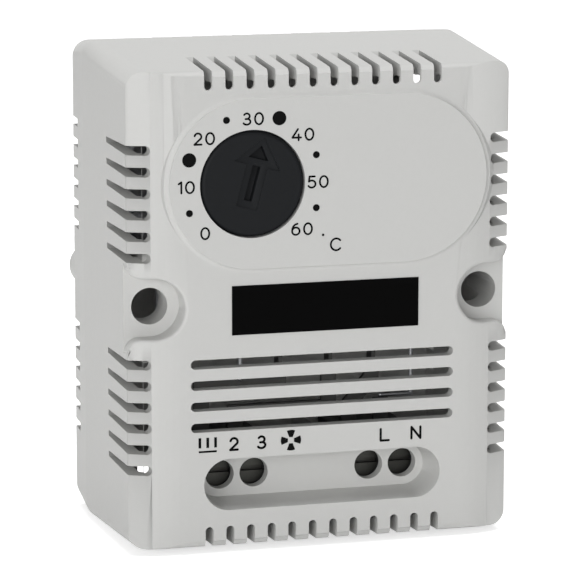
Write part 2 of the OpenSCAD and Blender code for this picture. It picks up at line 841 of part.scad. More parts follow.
module rear_base() {
  color(light_grey) seat() difference() {
    union() {
      difference() {
        slab(base_y, housing_d) rounded_plate(base_half_w, base_half_h, corner_r - wall);
        for (s = [-1, 1]) mirror([s < 0 ? 1 : 0, 0, 0]) {
          box(base_half_w - corner_notch_w, base_half_w + over, base_y - over, housing_d + over,
              corner_notch_low, corner_notch_high);
          box(entry_in_x, entry_out_x, base_y - over, housing_d + over, -base_half_h - over, entry_top_z);
        }
      }
      for (s = [-1, 1]) {
        translate([s * mount_x, 0, 0]) rod(foot_r, housing_d + fit_gap, housing_d + foot_h);
        intersection() {
          translate([s * mount_x, 0, 0]) rod(foot_r, housing_d - skin, housing_d + fit_gap + skin);
          box(-base_half_w, base_half_w, base_y, housing_d + foot_h, -foot_r, foot_r);
        }
        translate([s * hook_x, 0, 0]) rail_hook();
      }
      for (p = frame_posts) at(p[0], p[1]) rod(post_r, frame_end_y, base_y + skin);
      for (s = [-1, 1], k = [0, 1, 2])
        translate([s * (inner_screw + screw_step * (k / 2) + (k - 1) * (screw_step / 2 + rib_t / 2)), 0, rib_z])
          box(-rib_t / 2, rib_t / 2, block_end_y + run_gap, base_y + skin, -rib_half_h, rib_half_h);
      for (p = snaps) translate([p[0], 0, 0]) mirror([0, 0, p[1] < 0 ? 1 : 0]) snap_arm();
      latch_guides();
    }
    for (s = [-1, 1]) translate([s * mount_x, 0, 0]) rod(foot_hole_r, base_y - over, housing_d + foot_h + over);
    for (p = frame_posts) at(p[0], p[1]) rod(frame_screw_r + skin, frame_end_y - over, frame_end_y + post_bore_d);
  }
}

module rail_latch() {
  top_z = -rail_w / 2 - rail_gap;
  color(near_black) seat() difference() {
    union() {
      box(-latch_half, latch_half, latch_y, latch_y + latch_t, latch_low_z, top_z);
      box(-latch_hook_half, latch_hook_half, latch_y, hook_end_y, top_z - latch_hook_h, top_z);
      box(-latch_hook_half, latch_hook_half, hook_y, hook_end_y, top_z - latch_hook_h,
          top_z + rail_gap + hook_reach);
    }
    box(-window_half, window_half, latch_y - over, latch_y + latch_t + over, window_low_z, window_top_z);
    box(-driver_slot_half, driver_slot_half, latch_y - over, latch_y + latch_t + over,
        latch_low_z + driver_slot_up, latch_low_z + driver_slot_up + driver_slot_h);
  }
}

latch_spring_z = window_low_z + 2 * run_gap + stop_peg_h;
latch_spring_len = window_top_z - run_gap - latch_spring_z;

module latch_spring() {
  color(steel) seat() translate([0, latch_y + latch_spring_mean_r + spring_wire_r, latch_spring_z])
    coil(latch_spring_mean_r, spring_wire_r, latch_spring_len, latch_spring_turns);
}

// The pointer on the knob, drawn with its tip up
module pointer_outline() {
  polygon([[0, arrow_tip_share * knob_r], [arrow_head_share * knob_r, arrow_base_share * knob_r],
           [arrow_shaft_share * knob_r, arrow_base_share * knob_r],
           [arrow_shaft_share * knob_r, -arrow_tail_share * knob_r],
           [-arrow_shaft_share * knob_r, -arrow_tail_share * knob_r],
           [-arrow_shaft_share * knob_r, arrow_base_share * knob_r],
           [-arrow_head_share * knob_r, arrow_base_share * knob_r]]);
}

module pointer_pockets() {
  polygon([[0, arrow_peak_share * knob_r], [arrow_peak_half_share * knob_r, arrow_peak_base_share * knob_r],
           [-arrow_peak_half_share * knob_r, arrow_peak_base_share * knob_r]]);
  translate([-arrow_slot_share * knob_r, -arrow_slot_tail_share * knob_r])
    square([2 * arrow_slot_share * knob_r, (arrow_base_share + arrow_slot_tail_share) * knob_r]);
}

// The spindle's section, round with one flat
module d_shape(r, flat) {
  intersection() {
    circle(r = r);
    translate([-r, -r]) square([2 * r, 2 * r - flat]);
  }
}

module control_knob() {
  flange_end_y = flange_y + flange_t;
  color(near_black) seat() at(knob_x, knob_z) rotate([0, knob_rest_a, 0]) difference() {
    union() {
      rotate([-90, 0, 0]) rotate_extrude()
        polygon(concat([[0, knob_face_y]],
          [for (i = [0:4]) on_circle([knob_r - knob_rim_r, knob_face_y + knob_rim_r], knob_rim_r, -90 + 90 * i / 4)],
          [[knob_r, flange_y], [flange_r, flange_y], [flange_r, flange_end_y], [hub_r, flange_end_y],
           [hub_r, hub_end_y], [0, hub_end_y]]));
      slab(flange_y, flange_end_y) sector(flange_r - knob_rim_r, lug_r, 90, lug_half_a);
    }
    slab(knob_face_y - over, knob_face_y + arrow_d) pointer_outline();
    slab(knob_face_y - over, knob_face_y + arrow_pocket_d) pointer_pockets();
    slab(spindle_y - run_gap, hub_end_y + over) d_shape(spindle_r + run_gap / 2, spindle_flat);
  }
}

module knob_spindle() {
  color(brass_tone) seat() at(knob_x, knob_z) rotate([0, knob_rest_a, 0]) {
    slab(spindle_y, hub_end_y + run_gap + skin) d_shape(spindle_r, spindle_flat);
    rod(spindle_r, hub_end_y + run_gap, frame_end_y + bush_flange_t + clip_t + spindle_end);
    rod(collar_r, frame_y - bush_nose - run_gap - collar_t, frame_y - bush_nose - run_gap);
  }
}

// The cam's edge comes nearer to its axis as the knob turns up
function cam_edge(turn) = cam_r - cam_rise * turn * PI / 180;
cam_low_turn = -scale_half_a - knob_rest_a - cam_margin_a;
cam_high_turn = scale_half_a - knob_rest_a + cam_margin_a;
cam_steps = 60;

module setting_cam() {
  color(nylon) seat() at(knob_x, knob_z) difference() {
    union() {
      slab(cam_y, cam_y + cam_t)
        polygon([for (i = [0:cam_steps])
          let (turn = cam_low_turn + (cam_high_turn - cam_low_turn) * i / cam_steps)
          on_circle([0, 0], cam_edge(turn), turn - 90)]);
      rod(cam_hub_r, cam_hub_y, cam_hub_end_y);
    }
    rod(spindle_r + run_gap / 2, cam_hub_y - over, cam_hub_end_y + over);
  }
}

module spindle_bush() {
  color(brass_tone) seat() at(knob_x, knob_z) difference() {
    union() {
      rod(bush_r, frame_y - bush_nose, frame_end_y + skin);
      rod(bush_flange_r, frame_end_y, frame_end_y + bush_flange_t);
    }
    rod(spindle_r + run_gap, frame_y - bush_nose - over, frame_end_y + bush_flange_t + over);
  }
}

module spindle_clip() {
  clip_y = frame_end_y + bush_flange_t + run_gap;
  color(steel) seat() at(knob_x, knob_z)
    ring(spindle_r + clip_w, spindle_r + run_gap / 2, clip_y, clip_y + clip_t);
}

module mechanism_frame() {
  left = pivot_x - frame_left;
  right = tip_x + frame_right;
  low = switch_bottom_z - frame_below;
  high = knob_z + frame_above;
  shelf = pivot_z + frame_shelf;
  step = pivot_z - frame_step;
  neck = pivot_x + frame_neck;
  color(steel) seat() difference() {
    union() {
      slab(frame_y, frame_end_y)
        polygon([[left, step], [left, high], [knob_x + frame_top_run, high],
                 [knob_x + frame_top_run + frame_slope, shelf], [right, shelf],
                 [right, low], [neck + frame_corner, low], [neck, low + frame_corner], [neck, step]]);
      box(spring_x - tab_half, spring_x + tab_half, tab_front_y, frame_y + skin, tab_z, tab_z + tab_t);
      translate([spring_x, spring_y, tab_z + tab_t - skin]) cylinder(r = peg_r, h = peg_h + skin);
    }
    at(knob_x, knob_z) rod(bush_r + skin, frame_y - over, frame_end_y + over);
    at(pivot_x, pivot_z) rod(pin_r + skin, frame_y - over, frame_end_y + over);
    for (p = frame_posts) at(p[0], p[1]) rod(frame_screw_r + fit_gap, frame_y - over, frame_end_y + over);
    for (p = switch_holes) at(p[0], p[1]) rod(switch_screw_r + skin, frame_y - over, frame_end_y + over);
  }
}

// A slotted screw along Y, head to the front
module slotted_screw(head_radius, head_height, shank_radius, head_y, end_y) {
  difference() {
    union() {
      rod(head_radius, head_y, head_y + head_height);
      rod(shank_radius, head_y + head_height - skin, end_y);
    }
    box(-head_radius - over, head_radius + over, head_y - over, head_y + head_height / 2,
        -slot_half_share * head_radius, slot_half_share * head_radius);
  }
}

module frame_screws() {
  color(steel) seat() for (p = frame_posts) at(p[0], p[1])
    slotted_screw(frame_head_r, frame_head_t, frame_screw_r, frame_y - frame_head_t, frame_end_y + frame_screw_len);
}

module lever_pin() {
  color(steel) seat() at(pivot_x, pivot_z)
    rod(pin_r, lever_y - 2 * clip_t - 2 * run_gap, frame_end_y);
}

module pin_clip() {
  color(steel) seat() at(pivot_x, pivot_z)
    ring(pin_r + clip_w, pin_r + run_gap / 2, lever_y - clip_t - run_gap, lever_y - run_gap);
}

module setting_lever() {
  arm_a = atan2(nose_z - pivot_z, nose_x - pivot_x);
  arm_len = norm([nose_x - pivot_x, nose_z - pivot_z]);
  lever_end_y = strip_y + bimetal_w;
  color(steel) seat() difference() {
    union() {
      at(pivot_x, pivot_z) rod(lever_hub_r, lever_y, lever_end_y);
      at(nose_x, nose_z) rod(nose_r, lever_y, lever_y + lever_t);
      at(pivot_x, pivot_z) rotate([0, -arm_a, 0])
        box(0, arm_len, lever_y, lever_y + lever_t, -arm_half, arm_half);
      translate([spring_x, spring_y, pad_disc_z]) cylinder(r = pad_disc_r, h = pad_disc_t);
      box(pivot_x - web_w / 2, pivot_x + web_w / 2, strip_y, lever_end_y, strip_top_z, pivot_z - pin_r - web_gap);
      box(pivot_x - web_w / 2, pivot_x + foot_plate_len, strip_y, lever_end_y,
          strip_top_z, strip_top_z + foot_plate_t);
    }
    at(pivot_x, pivot_z) rod(pin_r + run_gap, lever_y - over, lever_end_y + over);
    for (x = [rivet_a_x, rivet_b_x]) translate([x, mid_y, strip_top_z - over])
      cylinder(r = rivet_r + skin, h = foot_plate_t + 2 * over);
  }
}

lever_spring_z = tab_z + tab_t + run_gap;
lever_spring_len = pad_disc_z - run_gap - lever_spring_z;

module lever_spring() {
  color(steel) seat() translate([spring_x, spring_y, lever_spring_z])
    coil(spring_mean_r, spring_wire_r, lever_spring_len, spring_turns);
}

module bimetal_strip() {
  color(brass_tone) seat() difference() {
    box(strip_x, strip_x + bimetal_len, strip_y, strip_y + bimetal_w, strip_z, strip_top_z);
    for (x = [rivet_a_x, rivet_b_x]) translate([x, mid_y, strip_z - over])
      cylinder(r = rivet_r + skin, h = bimetal_t + 2 * over);
    translate([tip_x, mid_y, strip_z - over]) cylinder(r = tip_pin_r + skin, h = bimetal_t + 2 * over);
  }
}

module bimetal_rivets() {
  color(steel) seat() for (x = [rivet_a_x, rivet_b_x]) translate([x, mid_y, 0]) {
    translate([0, 0, strip_z - rivet_head_t])
      cylinder(r = rivet_r, h = rivet_head_t + bimetal_t + foot_plate_t + rivet_head_t);
    translate([0, 0, strip_z - rivet_head_t]) cylinder(r = rivet_head_r, h = rivet_head_t);
    translate([0, 0, strip_top_z + foot_plate_t]) cylinder(r = rivet_head_r, h = rivet_head_t);
  }
}

module tip_button() {
  color(nylon) seat() translate([tip_x, mid_y, strip_z - tip_h]) {
    cylinder(r = tip_r, h = tip_h);
    cylinder(r = tip_pin_r, h = tip_h + bimetal_t + tip_pin_h);
    translate([0, 0, tip_h + bimetal_t]) cylinder(r = tip_r, h = tip_pin_h);
  }
}

// The switch's outline, and the screw holes through it
module switch_outline() {
  translate([switch_x, switch_bottom_z]) square([switch_len, switch_h]);
}

module switch_screw_holes() {
  for (p = switch_holes) translate(p) circle(r = switch_screw_r + switch_screw_gap);
}

module switch_case() {
  tray_y = switch_y + lid_t;
  color(near_black) seat() difference() {
    slab(tray_y, frame_y) switch_outline();
    difference() {
      box(switch_x + case_wall, switch_right_x - case_wall, tray_y - over, frame_y - case_wall,
          switch_bottom_z + case_wall, switch_top_z - case_wall);
      for (p = switch_holes) at(p[0], p[1]) rod(boss_r, tray_y - 2 * over, frame_y);
    }
    slab(tray_y - over, frame_y + over) switch_screw_holes();
    translate([tip_x, mid_y, switch_top_z - case_wall - over])
      cylinder(r = plunger_r + run_gap, h = case_wall + 2 * over);
    for (x = [blade_pivot_x, cooling_x, heating_x])
      box(x - post_t / 2 - run_gap, x + post_t / 2 + run_gap, mid_y - post_w / 2 - run_gap,
          mid_y + post_w / 2 + run_gap, switch_bottom_z - over, switch_bottom_z + case_wall + over);
  }
}

module switch_lid() {
  color(near_black) seat() slab(switch_y, switch_y + lid_t) difference() {
    switch_outline();
    switch_screw_holes();
  }
}

module switch_screws() {
  color(steel) seat() for (p = switch_holes) at(p[0], p[1])
    slotted_screw(switch_head_r, switch_head_t, switch_screw_r, switch_y - switch_head_t, frame_end_y);
}

module switch_plunger() {
  stem_z = blade_top_z + run_gap;
  collar_top_z = switch_top_z - case_wall - run_gap;
  color(nylon) seat() translate([tip_x, mid_y, 0]) {
    translate([0, 0, stem_z]) cylinder(r = plunger_r, h = switch_top_z + plunger_proud - stem_z);
    translate([0, 0, collar_top_z - plunger_collar_t]) cylinder(r = plunger_collar_r, h = plunger_collar_t);
  }
}

// The switch's moving blade, from its pivot at the common post to the contact
module switch_blade() {
  color(brass_tone) seat() difference() {
    box(blade_end_x, hinge_x, mid_y - blade_w / 2, mid_y + blade_w / 2,
        blade_top_z - blade_t, blade_top_z);
    translate([contact_x, mid_y, blade_top_z - blade_t - over])
      cylinder(r = contact_pin_r + skin, h = blade_t + 2 * over);
  }
}

module moving_contact() {
  color(steel) seat() translate([contact_x, mid_y, blade_top_z - blade_t - contact_head_t]) {
    cylinder(r = contact_r, h = contact_head_t);
    cylinder(r = contact_pin_r, h = 2 * contact_head_t + blade_t);
    translate([0, 0, contact_head_t + blade_t]) cylinder(r = contact_r, h = contact_head_t);
  }
}

// A terminal post of the switch, from below its case up to top_z
module switch_post(x, top_z) {
  box(x - post_t / 2, x + post_t / 2, mid_y - post_w / 2, mid_y + post_w / 2, post_end_z, top_z);
}

module common_terminal() {
  color(brass_tone) seat() switch_post(blade_pivot_x, blade_top_z + blade_t);
}

module heating_contact() {
  face_z = blade_top_z + contact_head_t + run_gap;
  arm_z = face_z + contact_head_t;
  color(brass_tone) seat() {
    switch_post(heating_x, arm_z + arm_t);
    box(heating_x - post_t / 2, contact_x + contact_r, mid_y - post_w / 2, mid_y + post_w / 2,
        arm_z, arm_z + arm_t);
    translate([contact_x, mid_y, face_z]) cylinder(r = contact_r, h = contact_head_t + skin);
  }
}

module cooling_contact() {
  face_z = blade_top_z - blade_t - contact_head_t - contact_gap;
  arm_z = face_z - contact_head_t;
  color(brass_tone) seat() {
    switch_post(cooling_x, arm_z);
    box(contact_x - contact_r, cooling_x + post_t / 2, mid_y - post_w / 2, mid_y + post_w / 2,
        arm_z - arm_t, arm_z);
    translate([contact_x, mid_y, arm_z - skin]) cylinder(r = contact_r, h = contact_head_t + skin);
  }
}

module feedback_resistor() {
  color([0.55, 0.68, 0.6]) seat() translate([resistor_x, mid_y, resistor_z]) rotate([0, 90, 0]) {
    cylinder(r = resistor_r, h = resistor_len);
    cylinder(r = resistor_cap_r, h = resistor_cap_t);
    translate([0, 0, resistor_len - resistor_cap_t]) cylinder(r = resistor_cap_r, h = resistor_cap_t);
  }
}

// One lead runs down to the neutral strip, the other in front of the bimetal to the heating strip
module resistor_leads() {
  neutral_z = strip_n_top_z + lead_r + run_gap;
  heating_z = bar_2_z + strip_half + lead_r + run_gap;
  right_end_x = resistor_x + resistor_len + lead_r;
  left_end_x = resistor_x - lead_r;
  color(steel) seat() {
    wire([[right_end_x, mid_y, resistor_z], [lead_right_x, mid_y, resistor_z],
          [lead_right_x, mid_y, neutral_z], [screw_xs[3], mid_y, neutral_z]], lead_r);
    wire([[left_end_x, mid_y, resistor_z], [lead_left_x, mid_y, resistor_z],
          [lead_left_x, lead_front_y, resistor_z], [lead_left_x, lead_front_y, heating_z],
          [lead_left_x, mid_y, heating_z]], lead_r);
  }
}

// A block with two cells, for the screws at xs
module terminal_block(xs) {
  color(near_black) seat() difference() {
    box(xs[0] - block_margin, xs[1] + block_margin, block_y, block_end_y, block_low_z, block_high_z);
    for (x = xs) translate([x, 0, screw_z]) {
      box(-cell_half_w, cell_half_w, cell_y, block_end_y + over, -cell_half_h, cell_half_h);
      rod(head_r + fit_gap / 2, block_y - over, seat_y);
      rod(thread_r + fit_gap, block_y, cell_y + over);
      box(-strip_half - fit_gap, strip_half + fit_gap, bar_y - run_gap, bar_y + bar_t + run_gap,
          0, block_high_z - screw_z + over);
      box(-cage_window_half, cage_window_half, bar_y + bar_t + fit_gap, cage_y + cage_wall + cage_window,
          block_low_z - screw_z - over, 0);
    }
  }
}

module terminal_block_left() { terminal_block([screw_xs[0], screw_xs[1]]); }
module terminal_block_right() { terminal_block([screw_xs[2], screw_xs[3]]); }

module terminal_screw(i) {
  color(steel) seat() at(screw_xs[i], screw_z)
    slotted_screw(head_r, head_t, thread_r, seat_y - run_gap - head_t, bar_y - screw_to_bar);
}

module terminal_screw_2() { terminal_screw(0); }
module terminal_screw_3() { terminal_screw(1); }
module terminal_screw_l() { terminal_screw(2); }
module terminal_screw_n() { terminal_screw(3); }

// A cage that the screw draws forwards, pressing the wire against the strip
module wire_clamp(i) {
  window_y = cage_y + cage_wall;
  color(brass_tone) seat() at(screw_xs[i], screw_z) difference() {
    box(-cage_half_w, cage_half_w, cage_y, window_y + cage_window + cage_back, -cage_half_h, cage_half_h);
    box(-cage_window_half, cage_window_half, window_y, window_y + cage_window, -cage_half_h - over, cage_half_h + over);
    rod(thread_r + run_gap, cage_y - over, window_y + over);
  }
}

module wire_clamp_2() { wire_clamp(0); }
module wire_clamp_3() { wire_clamp(1); }
module wire_clamp_l() { wire_clamp(2); }
module wire_clamp_n() { wire_clamp(3); }

// One edge of a strip through points, h to the left of them, with mitred corners
function left_of(d) = [-d[1], d[0]] / norm(d);
function strip_edge(points, h) =
  [for (i = [0:len(points) - 1])
    let (last = len(points) - 1,
         a = left_of(points[max(i, 1)] - points[max(i, 1) - 1]),
         b = left_of(points[min(i, last - 1) + 1] - points[min(i, last - 1)]))
    points[i] + (a + b) * h / (1 + a * b)];

// A flat strip through points in X and Z, from a clamp up to the switch
module strip_path(points) {
  right_edge = strip_edge(points, -strip_half);
  color(brass_tone) seat() slab(bar_y, bar_y + bar_t)
    polygon(concat(strip_edge(points, strip_half), [for (i = [len(points) - 1:-1:0]) right_edge[i]]));
}

strip_low_z = screw_z - cage_half_h + run_gap;
strip_join_z = post_end_z;

module terminal_strip_2() {
  strip_path([[screw_xs[0], strip_low_z], [screw_xs[0], bar_2_z], [heating_x, bar_2_z], [heating_x, strip_join_z]]);
}
module terminal_strip_3() {
  strip_path([[screw_xs[1], strip_low_z], [screw_xs[1], bar_3_z], [cooling_x, bar_3_z], [cooling_x, strip_join_z]]);
}
module terminal_strip_l() {
  strip_path([[screw_xs[2], strip_low_z], [screw_xs[2], bar_3_z], [blade_pivot_x, bar_2_z],
              [blade_pivot_x, strip_join_z]]);
}
module terminal_strip_n() {
  strip_path([[screw_xs[3], strip_low_z], [screw_xs[3], strip_n_top_z]]);
}

echo(least_gap_in_springs = min(coil_gap(spring_mean_r, spring_wire_r, lever_spring_len, spring_turns),
                                coil_gap(latch_spring_mean_r, spring_wire_r, latch_spring_len, latch_spring_turns)));

front_cover();
front_label();
rear_base();
rail_latch();
latch_spring();
control_knob();
knob_spindle();
setting_cam();
spindle_bush();
spindle_clip();
mechanism_frame();
frame_screws();
lever_pin();
pin_clip();
setting_lever();
lever_spring();
bimetal_strip();
bimetal_rivets();
tip_button();
switch_case();
switch_lid();
switch_screws();
switch_plunger();
switch_blade();
moving_contact();
common_terminal();
heating_contact();
cooling_contact();
feedback_resistor();
resistor_leads();
terminal_block_left();
terminal_block_right();
terminal_screw_2();
terminal_screw_3();
terminal_screw_l();
terminal_screw_n();
wire_clamp_2();
wire_clamp_3();
wire_clamp_l();
wire_clamp_n();
terminal_strip_2();
terminal_strip_3();
terminal_strip_l();
terminal_strip_n();
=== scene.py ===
"""DIN rail thermostat: finishes, printed scale, softened edges, springs, floor, light and camera."""

import json
import math

import bmesh
import bpy
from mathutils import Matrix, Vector, geometry


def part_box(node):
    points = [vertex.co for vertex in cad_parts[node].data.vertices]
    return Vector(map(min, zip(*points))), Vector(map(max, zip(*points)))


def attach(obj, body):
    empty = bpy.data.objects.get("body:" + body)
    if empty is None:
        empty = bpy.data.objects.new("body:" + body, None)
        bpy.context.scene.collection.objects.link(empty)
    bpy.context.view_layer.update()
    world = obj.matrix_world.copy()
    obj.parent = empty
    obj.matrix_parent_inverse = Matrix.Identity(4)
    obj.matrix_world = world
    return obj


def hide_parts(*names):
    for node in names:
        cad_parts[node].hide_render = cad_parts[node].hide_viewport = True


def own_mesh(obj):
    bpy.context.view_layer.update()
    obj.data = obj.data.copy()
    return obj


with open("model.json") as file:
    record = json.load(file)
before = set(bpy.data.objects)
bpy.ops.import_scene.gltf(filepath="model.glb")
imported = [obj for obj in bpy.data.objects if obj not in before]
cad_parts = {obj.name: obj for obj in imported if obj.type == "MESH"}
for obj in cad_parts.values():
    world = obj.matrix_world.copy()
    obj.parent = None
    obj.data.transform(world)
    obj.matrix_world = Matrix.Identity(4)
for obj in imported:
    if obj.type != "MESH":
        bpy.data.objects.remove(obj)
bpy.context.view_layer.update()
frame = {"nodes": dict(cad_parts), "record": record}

# The part's frame lies this far from the middle of the housing's face, in millimetres
MM = 0.001
DEPTH_SHIFT = -20.975
HEIGHT_SHIFT = 37.7


def place(x, y, z):
    """A point in metres from millimetres on the housing's face: right, back, up."""
    return Vector((x, y + DEPTH_SHIFT, z + HEIGHT_SHIFT)) * MM


# Shader groups that several finishes share


def new_group(name, inputs, outputs):
    tree = bpy.data.node_groups.new(name, "ShaderNodeTree")
    for label, kind, value in inputs:
        socket = tree.interface.new_socket(label, in_out="INPUT", socket_type=kind)
        socket.default_value = value
    for label, kind in outputs:
        tree.interface.new_socket(label, in_out="OUTPUT", socket_type=kind)
    return tree, tree.nodes.new("NodeGroupInput"), tree.nodes.new("NodeGroupOutput")


def add(tree, kind, **settings):
    made = tree.nodes.new(kind)
    for name, value in settings.items():
        setattr(made, name, value)
    return made


def math_node(tree, operation, first, second=None):
    made = add(tree, "ShaderNodeMath", operation=operation)
    for socket, value in zip(made.inputs, (first, second)):
        if value is None:
            continue
        if isinstance(value, (int, float)):
            socket.default_value = value
        else:
            tree.links.new(value, socket)
    return made.outputs[0]


def noise(tree, scale, detail=3.0, vector=None):
    made = add(tree, "ShaderNodeTexNoise")
    made.inputs["Detail"].default_value = detail
    if isinstance(scale, (int, float)):
        made.inputs["Scale"].default_value = scale
    else:
        tree.links.new(scale, made.inputs["Scale"])
    tree.links.new(vector, made.inputs["Vector"])
    return made.outputs["Fac"]


def object_place(tree):
    return add(tree, "ShaderNodeTexCoord").outputs["Object"]


COARSE_SCALE_SHARE = 0.3
COARSE_HEIGHT_SHARE = 0.5


def make_moulded_grain():
    """Height of a spark-eroded mould texture, and a speckle for colour."""
    tree, into, out = new_group(
        "moulded_grain",
        [("Size", "NodeSocketFloat", 4000.0)],
        [("Height", "NodeSocketFloat"), ("Speckle", "NodeSocketFloat")],
    )
    where = object_place(tree)
    fine = noise(tree, into.outputs["Size"], 2.0, where)
    coarse_size = math_node(tree, "MULTIPLY", into.outputs["Size"], COARSE_SCALE_SHARE)
    coarse = noise(tree, coarse_size, 2.0, where)
    both = math_node(tree, "ADD", math_node(tree, "MULTIPLY", coarse, COARSE_HEIGHT_SHARE), fine)
    tree.links.new(both, out.inputs["Height"])
    tree.links.new(coarse, out.inputs["Speckle"])
    return tree


# The edge mask below lightens the colour on edges: partly wear, partly a painted highlight
EDGE_MASK_NOISE_SCALE = 900.0
EDGE_MASK_NOISE_FLOOR = 0.4


def make_worn_and_highlit_edges():
    """A mask that is 1 on sharp outer edges and 0 on flats, broken up by noise, where wear and a painted
    highlight lighten the edges.
    """
    tree, into, out = new_group(
        "worn_and_highlit_edges",
        [("Radius", "NodeSocketFloat", 0.0003), ("Amount", "NodeSocketFloat", 1.0)],
        [("Mask", "NodeSocketFloat")],
    )
    bevel = add(tree, "ShaderNodeBevel", samples=4)
    tree.links.new(into.outputs["Radius"], bevel.inputs["Radius"])
    plain = add(tree, "ShaderNodeNewGeometry").outputs["Normal"]
    dot = add(tree, "ShaderNodeVectorMath", operation="DOT_PRODUCT")
    tree.links.new(bevel.outputs["Normal"], dot.inputs[0])
    tree.links.new(plain, dot.inputs[1])
    turned = math_node(tree, "SUBTRACT", 1.0, dot.outputs["Value"])
    rough = noise(tree, EDGE_MASK_NOISE_SCALE, 4.0, object_place(tree))
    broken = math_node(tree, "MULTIPLY", turned, math_node(tree, "ADD", rough, EDGE_MASK_NOISE_FLOOR))
    scaled = math_node(tree, "MULTIPLY", broken, into.outputs["Amount"])
    held = add(tree, "ShaderNodeClamp")
    tree.links.new(scaled, held.inputs["Value"])
    tree.links.new(held.outputs[0], out.inputs["Mask"])
    return tree


def make_tone_drift():
    """A slow change of tone over the piece, centred on 0."""
    tree, into, out = new_group(
        "tone_drift",
        [("Scale", "NodeSocketFloat", 60.0), ("Spread", "NodeSocketFloat", 0.02)],
        [("Shift", "NodeSocketFloat")],
    )
    drift = noise(tree, into.outputs["Scale"], 1.0, object_place(tree))
    centred = math_node(tree, "SUBTRACT", drift, 0.5)
    tree.links.new(math_node(tree, "MULTIPLY", centred, into.outputs["Spread"]), out.inputs["Shift"])
    return tree


def make_drawn_lines():
    """Fine lines of rolled sheet or drawn wire, stretched along one axis."""
    tree, into, out = new_group(
        "drawn_lines",
        [("Stretch", "NodeSocketVector", (60.0, 60.0, 4000.0))],
        [("Height", "NodeSocketFloat")],
    )
    scaled = add(tree, "ShaderNodeVectorMath", operation="MULTIPLY")
    tree.links.new(object_place(tree), scaled.inputs[0])
    tree.links.new(into.outputs["Stretch"], scaled.inputs[1])
    tree.links.new(noise(tree, 1.0, 3.0, scaled.outputs[0]), out.inputs["Height"])
    return tree


GRAIN = make_moulded_grain()
WEAR_AND_HIGHLIGHT = make_worn_and_highlit_edges()
DRIFT = make_tone_drift()
LINES = make_drawn_lines()


def use_group(tree, group, **values):
    made = add(tree, "ShaderNodeGroup", node_tree=group)
    for name, value in values.items():
        made.inputs[name].default_value = value
    return made


def start_material(name, metallic=0.0, specular=0.5):
    material = bpy.data.materials.new(name)
    material.use_nodes = True
    tree = material.node_tree
    shader = tree.nodes["Principled BSDF"]
    shader.inputs["Metallic"].default_value = metallic
    shader.inputs["Specular IOR Level"].default_value = specular
    return material, tree, shader


def mixed_colour(tree, mask, first, second):
    made = add(tree, "ShaderNodeMix", data_type="RGBA")
    tree.links.new(mask, made.inputs["Factor"])
    for socket, value in ((made.inputs["A"], first), (made.inputs["B"], second)):
        if isinstance(value, tuple):
            socket.default_value = (*value, 1.0)
        else:
            tree.links.new(value, socket)
    return made.outputs["Result"]


def ranged(tree, value, low, high):
    made = add(tree, "ShaderNodeMapRange")
    tree.links.new(value, made.inputs["Value"])
    made.inputs["To Min"].default_value = low
    made.inputs["To Max"].default_value = high
    return made.outputs["Result"]


def bump(tree, shader, height, distance):
    made = add(tree, "ShaderNodeBump")
    made.inputs["Distance"].default_value = distance
    made.inputs["Strength"].default_value = 1.0
    tree.links.new(height, made.inputs["Height"])
    tree.links.new(made.outputs["Normal"], shader.inputs["Normal"])


PLASTIC_DRIFT_SCALE = 70.0
PLASTIC_EDGE_R = 0.00025
PLASTIC_ROUGHNESS_SWING = 0.06


def moulded_plastic(
    name, colour, worn_and_highlit, roughness, grain_size, grain_depth, spread=0.03, wear_and_highlight=0.6, specular=0.5
):
    """A moulded plastic: base tone that drifts a little, fine grain, and edges lightened by wear and a
    painted highlight.
    """
    material, tree, shader = start_material(name, specular=specular)
    grain = use_group(tree, GRAIN, Size=grain_size)
    drift = use_group(tree, DRIFT, Scale=PLASTIC_DRIFT_SCALE, Spread=spread)
    edges = use_group(tree, WEAR_AND_HIGHLIGHT, Radius=PLASTIC_EDGE_R, Amount=wear_and_highlight)
    dark = tuple(c * (1 - spread) for c in colour)
    light = tuple(c * (1 + spread) for c in colour)
    speckled = math_node(tree, "ADD", grain.outputs["Speckle"], drift.outputs["Shift"])
    base = mixed_colour(tree, speckled, dark, light)
    # Lighter colour on the edges: partly wear, partly a painted highlight
    colour_with_lit_edges = mixed_colour(tree, edges.outputs["Mask"], base, worn_and_highlit)
    tree.links.new(colour_with_lit_edges, shader.inputs["Base Color"])
    dull, glossy = roughness + PLASTIC_ROUGHNESS_SWING, roughness - PLASTIC_ROUGHNESS_SWING
    tree.links.new(ranged(tree, grain.outputs["Height"], dull, glossy), shader.inputs["Roughness"])
    bump(tree, shader, grain.outputs["Height"], grain_depth)
    return material


METAL_DRIFT_SCALE = 220.0
METAL_DRIFT_SPREAD = 0.7
METAL_STAIN_LEVEL = 0.35
METAL_EDGE_R = 0.0002
METAL_EDGE_GAIN = 1.18
METAL_GLOSS_SWING = 0.08
METAL_DULL_SWING = 0.1


